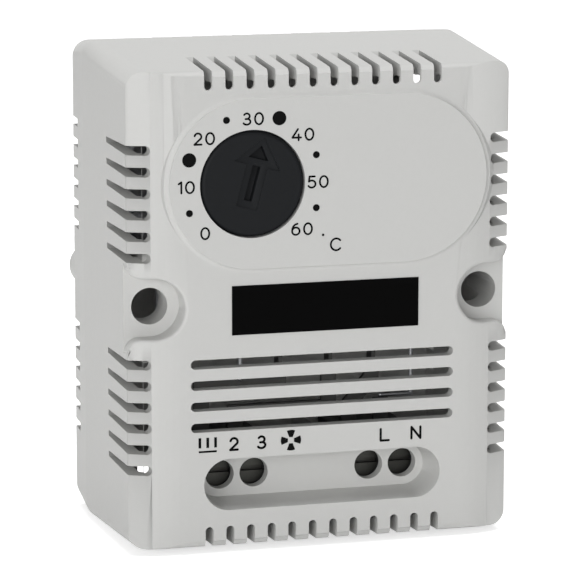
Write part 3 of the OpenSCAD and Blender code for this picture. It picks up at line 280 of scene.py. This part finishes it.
def sheet_metal(name, colour, stain, roughness, stretch, line_depth, wear_and_highlight=0.5):
    """A rolled or drawn metal: fine lines, a faint stain, and edges brightened by wear and a painted
    highlight.
    """
    material, tree, shader = start_material(name, metallic=1.0)
    lines = use_group(tree, LINES, Stretch=stretch)
    drift = use_group(tree, DRIFT, Scale=METAL_DRIFT_SCALE, Spread=METAL_DRIFT_SPREAD)
    edges = use_group(tree, WEAR_AND_HIGHLIGHT, Radius=METAL_EDGE_R, Amount=wear_and_highlight)
    clouded = math_node(tree, "ADD", drift.outputs["Shift"], METAL_STAIN_LEVEL)
    base = mixed_colour(tree, clouded, colour, stain)
    # Brighter colour on the edges: partly wear, partly a painted highlight
    bright = tuple(min(1.0, c * METAL_EDGE_GAIN) for c in colour)
    tree.links.new(mixed_colour(tree, edges.outputs["Mask"], base, bright), shader.inputs["Base Color"])
    glossy, dull = roughness - METAL_GLOSS_SWING, roughness + METAL_DULL_SWING
    tree.links.new(ranged(tree, lines.outputs["Height"], glossy, dull), shader.inputs["Roughness"])
    bump(tree, shader, lines.outputs["Height"], line_depth)
    return material


FINISHES = {
    "housing_plastic": moulded_plastic(
        "moulded_grey",
        colour=(0.578, 0.578, 0.565),
        worn_and_highlit=(0.62, 0.62, 0.607),
        roughness=0.55,
        grain_size=4200.0,
        grain_depth=0.000012,
        spread=0.012,
        wear_and_highlight=0.5,
        specular=0.25,
    ),
    "knob_plastic": moulded_plastic(
        "knob_black",
        colour=(0.009, 0.0098, 0.011),
        worn_and_highlit=(0.02, 0.021, 0.023),
        roughness=0.55,
        grain_size=5200.0,
        grain_depth=0.00001,
        spread=0.05,
        wear_and_highlight=0.6,
        specular=0.1,
    ),
    "label_black": moulded_plastic(
        "label_film",
        colour=(0.0018, 0.0018, 0.0018),
        worn_and_highlit=(0.006, 0.006, 0.006),
        roughness=0.6,
        grain_size=7000.0,
        grain_depth=0.000003,
        spread=0.05,
        wear_and_highlight=0.5,
        specular=0.02,
    ),
    "clip_plastic": moulded_plastic(
        "latch_black",
        colour=(0.02, 0.02, 0.022),
        worn_and_highlit=(0.04, 0.04, 0.042),
        roughness=0.4,
        grain_size=2600.0,
        grain_depth=0.00002,
        spread=0.06,
        wear_and_highlight=0.8,
        specular=0.5,
    ),
    "inner_plastic": moulded_plastic(
        "block_charcoal",
        colour=(0.012, 0.012, 0.013),
        worn_and_highlit=(0.03, 0.03, 0.031),
        roughness=0.5,
        grain_size=3000.0,
        grain_depth=0.00002,
        spread=0.06,
        wear_and_highlight=0.8,
        specular=0.2,
    ),
    "nylon": moulded_plastic(
        "cam_nylon",
        colour=(0.78, 0.76, 0.68),
        worn_and_highlit=(0.83, 0.82, 0.76),
        roughness=0.38,
        grain_size=2600.0,
        grain_depth=0.00001,
        spread=0.03,
        wear_and_highlight=0.6,
        specular=0.5,
    ),
    "resistor_body": moulded_plastic(
        "resistor_enamel",
        colour=(0.3, 0.42, 0.35),
        worn_and_highlit=(0.36, 0.47, 0.4),
        roughness=0.32,
        grain_size=1800.0,
        grain_depth=0.00002,
        spread=0.08,
        wear_and_highlight=0.6,
        specular=0.5,
    ),
    "plated_steel": sheet_metal(
        "zinc_plated_steel",
        colour=(0.62, 0.62, 0.63),
        stain=(0.5, 0.52, 0.55),
        roughness=0.34,
        stretch=(90.0, 90.0, 3600.0),
        line_depth=0.000006,
    ),
    "spring_steel": sheet_metal(
        "drawn_spring_wire",
        colour=(0.5, 0.5, 0.52),
        stain=(0.38, 0.38, 0.4),
        roughness=0.3,
        stretch=(2500.0, 2500.0, 500.0),
        line_depth=0.000004,
    ),
    "brass": sheet_metal(
        "stamped_brass",
        colour=(0.78, 0.57, 0.24),
        stain=(0.6, 0.4, 0.16),
        roughness=0.32,
        stretch=(80.0, 3000.0, 3000.0),
        line_depth=0.000005,
    ),
    "silver_contact": sheet_metal(
        "silver_rivet",
        colour=(0.8, 0.8, 0.8),
        stain=(0.6, 0.6, 0.58),
        roughness=0.28,
        stretch=(2200.0, 300.0, 2200.0),
        line_depth=0.000003,
    ),
}

# Pieces darker than the finish of their slot: painted shade on the screws, strips and contacts that sit
# deep in the holes and behind the slots
SHADE_DARKENED_SCREW = sheet_metal(
    "shade_darkened_screw",
    colour=(0.055, 0.055, 0.05),
    stain=(0.03, 0.03, 0.028),
    roughness=0.42,
    stretch=(90.0, 90.0, 3600.0),
    line_depth=0.000006,
    wear_and_highlight=0.8,
)
SHADE_DARKENED_STRIP = sheet_metal(
    "shade_darkened_strip",
    colour=(0.13, 0.13, 0.125),
    stain=(0.08, 0.08, 0.078),
    roughness=0.45,
    stretch=(80.0, 3000.0, 3000.0),
    line_depth=0.000005,
)
OWN_FINISH = {name: SHADE_DARKENED_STRIP for name in ("common_terminal", "heating_contact", "cooling_contact")}
for mark in "23ln":
    OWN_FINISH[f"terminal_screw_{mark}"] = SHADE_DARKENED_SCREW
    OWN_FINISH[f"terminal_strip_{mark}"] = SHADE_DARKENED_STRIP

PRINT_INK = moulded_plastic(
    "printed_ink",
    colour=(0.004, 0.004, 0.004),
    worn_and_highlit=(0.007, 0.007, 0.007),
    roughness=0.6,
    grain_size=6000.0,
    grain_depth=0.000004,
    spread=0.1,
    wear_and_highlight=0.3,
    specular=0.04,
)

# CAD solids with softened edges

SLOT_OF_NODE = {part["node"]: part["material_slot"] for part in frame["record"]["subparts"]}
BODY_OF_NODE = {
    node: body for body, members in frame["record"]["behaviour"]["bodies"].items() for node in members
}
WELD_DISTANCE = 2e-6
FLAT_ANGLE = math.radians(0.6)
LEVEL_ANGLE = math.radians(0.5)
WIDE_FACE = 1.0
ROUND_STEPS = 2
ROUND_FROM_ANGLE = math.radians(28.0)
SHARP_ANGLE = math.radians(34.0)


def new_piece(name, mesh):
    piece = bpy.data.objects.new(name, mesh)
    bpy.context.scene.collection.objects.link(piece)
    return piece


def baked(piece):
    """The piece with its modifiers turned into plain mesh."""
    seen = piece.evaluated_get(bpy.context.evaluated_depsgraph_get())
    mesh = bpy.data.meshes.new_from_object(seen)
    piece.modifiers.clear()
    piece.data = mesh
    return piece


def shade(mesh, sharp_angle):
    for face in mesh.polygons:
        face.use_smooth = True
    mesh.set_sharp_from_angle(angle=sharp_angle)


def flatten_wide_faces(mesh):
    """Wide faces, and what lies level with them, are shaded flat, so that no edge tints them."""
    work = bmesh.new()
    work.from_mesh(mesh)
    level = {face for face in work.faces if 2 * face.calc_area() > WIDE_FACE * MM * face.calc_perimeter()}
    waiting = list(level)
    while waiting:
        face = waiting.pop()
        for other in {near for edge in face.edges for near in edge.link_faces} - level:
            if other.normal.angle(face.normal, math.pi) < LEVEL_ANGLE:
                level.add(other)
                waiting.append(other)
    for face in level:
        face.smooth = False
    work.to_mesh(mesh)
    work.free()


def seat_on(piece, body, slot, *nodes):
    """The piece rides on a body and stands for these nodes, whose solids it hides; slot is not used."""
    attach(piece, body)
    if nodes:
        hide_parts(*nodes)
    return piece


# The screw pockets' outline and the rounding of its rim, in millimetres
POCKET_X = 26.05
POCKET_R = 4.6
POCKET_REACH = 3.8
FLARE_FROM = 1.75
FLARE_R = 2.2
ON_OUTLINE = 0.03
RIM_ROUND = 0.5
RIM_STEPS = 4
RIM_FROM_ANGLE = math.radians(30.0)


def off_pocket_outline(corner):
    """Distance in millimetres from a screw pocket's outline, for a point in front of its floor."""
    x, y, z = corner.x / MM, corner.y / MM - DEPTH_SHIFT, abs(corner.z / MM - HEIGHT_SHIFT)
    out = abs(x) - POCKET_X
    if y > POCKET_REACH:
        return math.inf
    if out <= 0.0:
        return abs(math.hypot(out, z) - POCKET_R)
    if out <= FLARE_FROM:
        return abs(z - POCKET_R)
    return abs(math.hypot(out - FLARE_FROM, z - POCKET_R - FLARE_R) - FLARE_R)


def round_pocket_rims(work):
    """Rounds the edge where the screw pockets open in the front and the sides."""
    rims = []
    for edge in work.edges:
        if len(edge.link_faces) != 2 or edge.calc_face_angle() < RIM_FROM_ANGLE:
            continue
        if max(off_pocket_outline(corner.co) for corner in edge.verts) < ON_OUTLINE:
            rims.append(edge)
    bmesh.ops.bevel(
        work,
        geom=rims,
        offset=RIM_ROUND * MM,
        segments=RIM_STEPS,
        profile=0.5,
        affect="EDGES",
        clamp_overlap=False,
    )


def softened(node, name, width):
    """A merged copy of a CAD solid with rounded edges."""
    mesh = frame["nodes"][node].data.copy()
    work = bmesh.new()
    work.from_mesh(mesh)
    bmesh.ops.remove_doubles(work, verts=work.verts, dist=WELD_DISTANCE)
    bmesh.ops.dissolve_limit(work, angle_limit=FLAT_ANGLE, verts=work.verts, edges=work.edges)
    if node == "front_cover":
        round_pocket_rims(work)
    work.to_mesh(mesh)
    work.free()
    piece = new_piece(name, mesh)
    round_over = piece.modifiers.new("round_over", "BEVEL")
    round_over.width = width * MM
    round_over.segments = ROUND_STEPS
    round_over.limit_method = "ANGLE"
    round_over.angle_limit = ROUND_FROM_ANGLE
    round_over.use_clamp_overlap = True
    round_over.miter_outer = "MITER_ARC"
    baked(piece)
    piece.data.materials.clear()
    piece.data.materials.append(FINISHES[SLOT_OF_NODE[node]])
    shade(piece.data, SHARP_ANGLE)
    flatten_wide_faces(piece.data)
    return seat_on(piece, BODY_OF_NODE[node], SLOT_OF_NODE[node], node)


# Each softened node: its piece's name and the width of its rounding in millimetres
SOFTENED = {
    "front_cover": ("cover_shell", 0.1),
    "front_label": ("label_panel", 0.04),
    "rear_base": ("base_shell", 0.15),
    "rail_latch": ("latch_slide", 0.15),
    "control_knob": ("dial_knob", 0.08),
}
for node, (name, width) in SOFTENED.items():
    softened(node, name, width)
for node, solid in frame["nodes"].items():
    if node in SOFTENED:
        continue
    solid.data.materials.clear()
    solid.data.materials.append(OWN_FINISH.get(node, FINISHES[SLOT_OF_NODE[node]]))

# Printed scale and terminal marks, in millimetres on the housing's face

PAD_Y = -0.55
FACE_Y = 0.0
INK_PROUD = 0.02
INK_SUNK = 0.02
SCALE_STROKE = 0.29
MARK_STROKE = 0.36
FIGURE_H = 1.96
UNIT_H = 2.09
MARK_H = 2.15
ARC_STEP = 9.0
CAP_SIDES = 12


def arc(cx, cz, rx, rz, start, end):
    """Points of an arc in a glyph's box, anticlockwise for a growing angle in degrees."""
    count = max(2, int(abs(end - start) / ARC_STEP))
    angles = [math.radians(start + (end - start) * i / count) for i in range(count + 1)]
    return [(cx + rx * math.cos(a), cz + rz * math.sin(a)) for a in angles]


# Each glyph: width of its centre line over its height, then its strokes
GLYPHS = {
    "0": (0.74, [arc(0.37, 0.5, 0.37, 0.5, 0, 360)]),
    "1": (0.25, [[(0.0, 0.83), (0.25, 1.0), (0.25, 0.0)]]),
    "2": (0.66, [arc(0.33, 0.69, 0.31, 0.31, 165, -28) + [(0.0, 0.0), (0.66, 0.0)]]),
    "3": (
        0.66,
        [
            arc(0.31, 0.75, 0.27, 0.25, 150, -90) + [(0.2, 0.5)],
            arc(0.31, 0.26, 0.34, 0.26, 75, -150),
        ],
    ),
    "4": (0.8, [[(0.52, 1.0), (0.0, 0.24), (0.8, 0.24)], [(0.58, 0.52), (0.58, 0.0)]]),
    "5": (
        0.68,
        [[(0.62, 1.0), (0.12, 1.0), (0.07, 0.55)] + arc(0.33, 0.32, 0.35, 0.32, 122, -150)],
    ),
    "6": (
        0.7,
        [
            arc(0.35, 0.33, 0.35, 0.33, 0, 360),
            [(0.0, 0.36), (0.03, 0.58), (0.13, 0.79), (0.29, 0.93), (0.5, 1.0)],
        ],
    ),
    "C": (0.85, [arc(0.47, 0.5, 0.47, 0.5, 42, 318)]),
    "L": (0.72, [[(0.0, 1.0), (0.0, 0.0), (0.72, 0.0)]]),
    "N": (0.8, [[(0.0, 0.0), (0.0, 1.0), (0.8, 0.0), (0.8, 1.0)]]),
}
DIGIT_GAP = 0.4


def stroke_faces(points, half):
    """Convex faces that cover a stroke: a quad for each stretch and a disc at each point."""
    faces = []
    for (ax, az), (bx, bz) in zip(points, points[1:]):
        run = math.hypot(bx - ax, bz - az)
        nx, nz = -(bz - az) / run * half, (bx - ax) / run * half
        faces.append([(ax - nx, az - nz), (bx - nx, bz - nz), (bx + nx, bz + nz), (ax + nx, az + nz)])
    for px, pz in points:
        turns = [2 * math.pi * i / CAP_SIDES for i in range(CAP_SIDES)]
        faces.append([(px + half * math.cos(a), pz + half * math.sin(a)) for a in turns])
    return faces


def glyph_faces(text, x, z, height, stroke):
    """Faces of a word of glyphs centred on a point, in millimetres."""
    tall = height - stroke
    widths = [GLYPHS[letter][0] * tall for letter in text]
    left = x - (sum(widths) + (DIGIT_GAP + stroke) * (len(text) - 1)) / 2
    faces = []
    for letter, width in zip(text, widths):
        for line in GLYPHS[letter][1]:
            points = [(left + px * tall, z + (pz - 0.5) * tall) for px, pz in line]
            faces += stroke_faces(points, stroke / 2)
        left += width + DIGIT_GAP + stroke
    return faces


def ink_mesh(name, faces, surface_y):
    """The union of flat faces as one thin closed layer of ink on a surface."""
    points, polygons = [], []
    for face in faces:
        polygons.append(range(len(points), len(points) + len(face)))
        points += [Vector(p) for p in face]
    made = geometry.delaunay_2d_cdt(points, [], [list(p) for p in polygons], 1, 1e-6)
    work = bmesh.new()
    corners = [work.verts.new(place(p[0], surface_y - INK_PROUD, p[1])) for p in made[0]]
    work.verts.index_update()
    for triangle, covered_by in zip(made[2], made[5]):
        if covered_by:
            work.faces.new([corners[i] for i in triangle])
    bmesh.ops.dissolve_limit(work, angle_limit=FLAT_ANGLE, verts=work.verts, edges=work.edges)
    grown = bmesh.ops.extrude_face_region(work, geom=list(work.faces))
    back = [v for v in grown["geom"] if isinstance(v, bmesh.types.BMVert)]
    for corner in back:
        corner.co.y += (INK_PROUD + INK_SUNK) * MM
    bmesh.ops.recalc_face_normals(work, faces=work.faces)
    mesh = bpy.data.meshes.new(name)
    work.to_mesh(mesh)
    work.free()
    mesh.materials.append(PRINT_INK)
    return mesh


def printed(name, faces, surface_y):
    return seat_on(new_piece(name, ink_mesh(name, faces, surface_y)), "housing", "label_black")


SCALE_FIGURES = [
    ("0", -18.56, 11.38),
    ("10", -21.43, 18.39),
    ("20", -18.66, 25.57),
    ("30", -11.14, 28.28),
    ("40", -3.46, 25.66),
    ("50", -1.09, 18.44),
    ("60", -3.57, 11.4),
    ("C", 1.71, 8.83),
]
scale_faces = []
for text, x, z in SCALE_FIGURES:
    scale_faces += glyph_faces(text, x, z, UNIT_H if text == "C" else FIGURE_H, SCALE_STROKE)
printed("scale_figures", scale_faces, PAD_Y)

TERMINAL_FIGURES = [("2", -14.04, -21.01), ("3", -9.71, -21.01), ("L", 9.8, -21.05), ("N", 14.81, -21.02)]
mark_faces = []
for text, x, z in TERMINAL_FIGURES:
    mark_faces += glyph_faces(text, x, z, MARK_H, MARK_STROKE)
printed("terminal_figures", mark_faces, FACE_Y)


def bar_face(x0, z0, x1, z1):
    return [(x0, z0), (x1, z0), (x1, z1), (x0, z1)]


HEATER_X = -18.13
HEATER_BOTTOM = -22.09
HEATER_TOP = -19.79
HEATER_HALF_W = 1.4
HEATER_LINE_T = 0.3
HEATER_BAR_BOTTOM = -21.36
HEATER_BAR_HALF = 0.21
HEATER_BAR_STEP = 1.22
heater_faces = [
    bar_face(
        HEATER_X - HEATER_HALF_W, HEATER_BOTTOM, HEATER_X + HEATER_HALF_W, HEATER_BOTTOM + HEATER_LINE_T
    )
]
for place_in_row in (-1, 0, 1):
    bar_x = HEATER_X + place_in_row * HEATER_BAR_STEP
    heater_faces.append(
        bar_face(bar_x - HEATER_BAR_HALF, HEATER_BAR_BOTTOM, bar_x + HEATER_BAR_HALF, HEATER_TOP)
    )
printed("heater_mark", heater_faces, FACE_Y)

FAN = (-5.1, -20.98)
FAN_R = 1.6
FAN_HUB_R = 0.48
FAN_BLADE_HALF_A = 24.0
FAN_BLADE_ROOT_HALF = 0.27
fan_faces = []
for turn in range(0, 360, 90):
    tip = arc(0, 0, FAN_R, FAN_R, 90 - FAN_BLADE_HALF_A, 90 + FAN_BLADE_HALF_A)
    blade = [(-FAN_BLADE_ROOT_HALF, FAN_HUB_R), (FAN_BLADE_ROOT_HALF, FAN_HUB_R)] + tip
    c, s = math.cos(math.radians(turn)), math.sin(math.radians(turn))
    fan_faces.append([(FAN[0] + px * c - pz * s, FAN[1] + px * s + pz * c) for px, pz in blade])
printed("fan_mark", fan_faces, FACE_Y)


# Geometry Nodes: the scale's dots and the springs' coils


def start_tree(name, inputs):
    tree = bpy.data.node_groups.new(name, "GeometryNodeTree")
    tree.interface.new_socket("Geometry", in_out="INPUT", socket_type="NodeSocketGeometry")
    for label, kind, value in inputs:
        tree.interface.new_socket(label, in_out="INPUT", socket_type=kind).default_value = value
    tree.interface.new_socket("Material", in_out="INPUT", socket_type="NodeSocketMaterial")
    tree.interface.new_socket("Geometry", in_out="OUTPUT", socket_type="NodeSocketGeometry")
    return tree, tree.nodes.new("NodeGroupInput"), tree.nodes.new("NodeGroupOutput")


def end_tree(tree, into, out, shape):
    """Realises the shape, gives it the material and puts it out."""
    realize = tree.nodes.new("GeometryNodeRealizeInstances")
    paint = tree.nodes.new("GeometryNodeSetMaterial")
    tree.links.new(shape, realize.inputs["Geometry"])
    tree.links.new(realize.outputs["Geometry"], paint.inputs["Geometry"])
    tree.links.new(into.outputs["Material"], paint.inputs["Material"])
    tree.links.new(paint.outputs["Geometry"], out.inputs["Geometry"])


def grown(name, mesh, tree, **values):
    """A piece that a node tree makes from a mesh, as plain mesh."""
    piece = new_piece(name, mesh)
    modifier = piece.modifiers.new(name, "NODES")
    modifier.node_group = tree
    for item in tree.interface.items_tree:
        if item.in_out == "INPUT" and item.name in values:
            modifier[item.identifier] = values[item.name]
    return baked(piece)


DOT_SIDES = 48


def make_dot_tree():
    """A round, thin disc at each point, sized by the point's dot_radius."""
    tree, into, out = start_tree("scale_dots", [("Thickness", "NodeSocketFloat", 0.00004)])
    disc = tree.nodes.new("GeometryNodeMeshCylinder")
    disc.inputs["Vertices"].default_value = DOT_SIDES
    disc.inputs["Radius"].default_value = 1.0
    tree.links.new(into.outputs["Thickness"], disc.inputs["Depth"])
    turned = tree.nodes.new("GeometryNodeTransform")
    turned.inputs["Rotation"].default_value = (math.pi / 2, 0.0, 0.0)
    tree.links.new(disc.outputs["Mesh"], turned.inputs["Geometry"])
    radius = tree.nodes.new("GeometryNodeInputNamedAttribute")
    radius.data_type = "FLOAT"
    radius.inputs["Name"].default_value = "dot_radius"
    size = tree.nodes.new("ShaderNodeCombineXYZ")
    tree.links.new(radius.outputs["Attribute"], size.inputs["X"])
    tree.links.new(radius.outputs["Attribute"], size.inputs["Z"])
    size.inputs["Y"].default_value = 1.0
    spots = tree.nodes.new("GeometryNodeInstanceOnPoints")
    tree.links.new(into.outputs["Geometry"], spots.inputs["Points"])
    tree.links.new(turned.outputs["Geometry"], spots.inputs["Instance"])
    tree.links.new(size.outputs["Vector"], spots.inputs["Scale"])
    end_tree(tree, into, out, spots.outputs["Instances"])
    return tree


SMALL_DOT_R = 0.53
LARGE_DOT_R = 1.07
DEGREE_DOT_R = 0.2
SCALE_DOTS = [
    (-20.97, 14.49, SMALL_DOT_R),
    (-20.97, 22.45, LARGE_DOT_R),
    (-15.25, 28.2, SMALL_DOT_R),
    (-7.1, 28.24, LARGE_DOT_R),
    (-1.36, 22.54, SMALL_DOT_R),
    (-1.35, 14.54, SMALL_DOT_R),
    (-0.27, 10.37, DEGREE_DOT_R),
]
INK_DEPTH = INK_PROUD + INK_SUNK
dot_points = bpy.data.meshes.new("scale_dot_points")
middle_y = PAD_Y - INK_PROUD + INK_DEPTH / 2
dot_points.from_pydata([place(x, middle_y, z) for x, z, _ in SCALE_DOTS], [], [])
dot_sizes = dot_points.attributes.new("dot_radius", "FLOAT", "POINT")
dot_sizes.data.foreach_set("value", [r * MM for _, _, r in SCALE_DOTS])
dots = grown("scale_dots", dot_points, make_dot_tree(), Material=PRINT_INK, Thickness=INK_DEPTH * MM)
seat_on(dots, "housing", "label_black")


COIL_TURN_STEPS = 36
WIRE_SIDES = 14


def make_coil_tree():
    """A round wire wound along Z."""
    sizes = [
        ("Mean radius", "NodeSocketFloat", 0.00125),
        ("Wire radius", "NodeSocketFloat", 0.0002),
        ("Length", "NodeSocketFloat", 0.008),
        ("Turns", "NodeSocketFloat", 8.0),
        ("Foot", "NodeSocketVector", (0.0, 0.0, 0.0)),
    ]
    tree, into, out = start_tree("coil_spring", sizes)
    spiral = tree.nodes.new("GeometryNodeCurveSpiral")
    spiral.inputs["Resolution"].default_value = COIL_TURN_STEPS
    tree.links.new(into.outputs["Mean radius"], spiral.inputs["Start Radius"])
    tree.links.new(into.outputs["Mean radius"], spiral.inputs["End Radius"])
    tree.links.new(into.outputs["Length"], spiral.inputs["Height"])
    tree.links.new(into.outputs["Turns"], spiral.inputs["Rotations"])
    wire = tree.nodes.new("GeometryNodeCurvePrimitiveCircle")
    wire.inputs["Resolution"].default_value = WIRE_SIDES
    tree.links.new(into.outputs["Wire radius"], wire.inputs["Radius"])
    swept = tree.nodes.new("GeometryNodeCurveToMesh")
    swept.inputs["Fill Caps"].default_value = True
    tree.links.new(spiral.outputs["Curve"], swept.inputs["Curve"])
    tree.links.new(wire.outputs["Curve"], swept.inputs["Profile Curve"])
    moved = tree.nodes.new("GeometryNodeTransform")
    tree.links.new(swept.outputs["Mesh"], moved.inputs["Geometry"])
    tree.links.new(into.outputs["Foot"], moved.inputs["Translation"])
    end_tree(tree, into, out, moved.outputs["Geometry"])
    return tree


COIL_TREE = make_coil_tree()
SPRING_WIRE_R = 0.0002
SPRING_TURNS = 8.0
SPRING_SHARP_ANGLE = math.radians(40.0)


def coil_spring(node, name):
    """A wound spring in the place of its CAD solid, riding on that solid's body."""
    low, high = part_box(node)
    length = high.z - low.z - 2 * SPRING_WIRE_R
    centre = (low + high) / 2
    values = {
        "Mean radius": (high.x - low.x) / 2 - SPRING_WIRE_R,
        "Wire radius": SPRING_WIRE_R,
        "Length": length,
        "Turns": SPRING_TURNS,
        "Foot": (centre.x, centre.y, low.z + SPRING_WIRE_R),
        "Material": FINISHES["spring_steel"],
    }
    piece = grown(name, bpy.data.meshes.new(name), COIL_TREE, **values)
    shade(piece.data, SPRING_SHARP_ANGLE)
    seat_on(piece, BODY_OF_NODE[node], "spring_steel", node)
    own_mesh(piece)
    return piece


coil_spring("latch_spring", "latch_coil")
coil_spring("lever_spring", "lever_coil")

# Floor, backdrop, light and camera

FLOOR_HALF = 4.0
FLOOR_TONE = 0.88
FLOOR_LIFT = 0.6
WORLD_LEVEL = 0.15


def studio_floor():
    """A pale floor that shows white to the camera and keeps the object's shadow."""
    work = bmesh.new()
    bmesh.ops.create_grid(work, x_segments=1, y_segments=1, size=FLOOR_HALF)
    mesh = bpy.data.meshes.new("studio_floor")
    work.to_mesh(mesh)
    work.free()
    floor = new_piece("studio_floor", mesh)
    material, tree, shader = start_material("pale_floor", specular=0.0)
    shader.inputs["Base Color"].default_value = (FLOOR_TONE, FLOOR_TONE, FLOOR_TONE, 1.0)
    shader.inputs["Roughness"].default_value = 1.0
    path = add(tree, "ShaderNodeLightPath")
    seen = math_node(tree, "MAXIMUM", path.outputs["Is Camera Ray"], path.outputs["Is Glossy Ray"])
    seen = math_node(tree, "MAXIMUM", seen, path.outputs["Is Transmission Ray"])
    shader.inputs["Emission Color"].default_value = (1.0, 1.0, 1.0, 1.0)
    tree.links.new(math_node(tree, "MULTIPLY", seen, FLOOR_LIFT), shader.inputs["Emission Strength"])
    mesh.materials.append(material)
    return floor


studio_floor()

world = bpy.data.worlds.new("studio_world")
bpy.context.scene.world = world
world.use_nodes = True
world_tree = world.node_tree
background = world_tree.nodes["Background"]
background.inputs["Color"].default_value = (1.0, 1.0, 1.0, 1.0)
world_path = add(world_tree, "ShaderNodeLightPath")
seen_rays = [world_path.outputs[f"Is {kind} Ray"] for kind in ("Camera", "Glossy", "Transmission")]
world_seen = math_node(world_tree, "MAXIMUM", seen_rays[0], seen_rays[1])
world_seen = math_node(world_tree, "MAXIMUM", world_seen, seen_rays[2])
world_level = add(world_tree, "ShaderNodeMapRange")
world_level.inputs["To Min"].default_value = WORLD_LEVEL
world_level.inputs["To Max"].default_value = 1.0
world_tree.links.new(world_seen, world_level.inputs["Value"])
world_tree.links.new(world_level.outputs["Result"], background.inputs["Strength"])


LAMP_DISTANCE = 1.2
LAMP_SIZE = 0.9


def soft_lamp(name, towards, power):
    """A large square lamp at a direction from the object's middle, aimed at it."""
    lamp = bpy.data.lights.new(name, "AREA")
    lamp.shape = "SQUARE"
    lamp.size = LAMP_SIZE
    lamp.energy = power
    holder = bpy.data.objects.new(name, lamp)
    middle = Vector((0.0, 0.0, HEIGHT_SHIFT * MM))
    direction = Vector(towards).normalized()
    holder.location = middle + direction * LAMP_DISTANCE
    holder.rotation_euler = direction.to_track_quat("Z", "Y").to_euler()
    bpy.context.scene.collection.objects.link(holder)
    return holder


soft_lamp("front_softbox", (-0.2, -0.98, -0.03), 7.3)
soft_lamp("left_softbox", (-0.72, -0.69, 0.05), 10.3)
soft_lamp("overhead_softbox", (0.12, 0.1, 1.0), 11.4)

# The camera stands where the photograph's slots, notches and label put it
CAMERA_PLACE = (-0.149319, -0.51189, 0.132758)
CAMERA_TURNS = (79.73707, -0.05091, -16.31016)
camera_data = bpy.data.cameras.new("product_camera")
camera_data.lens = 216.51
camera_data.sensor_width = 36.0
camera_data.clip_start = 0.05
camera_data.clip_end = 20.0
camera = bpy.data.objects.new("product_camera", camera_data)
camera.location = CAMERA_PLACE
camera.rotation_euler = [math.radians(turn) for turn in CAMERA_TURNS]
bpy.context.scene.collection.objects.link(camera)
bpy.context.scene.camera = camera
bpy.context.scene.view_settings.view_transform = "Standard"
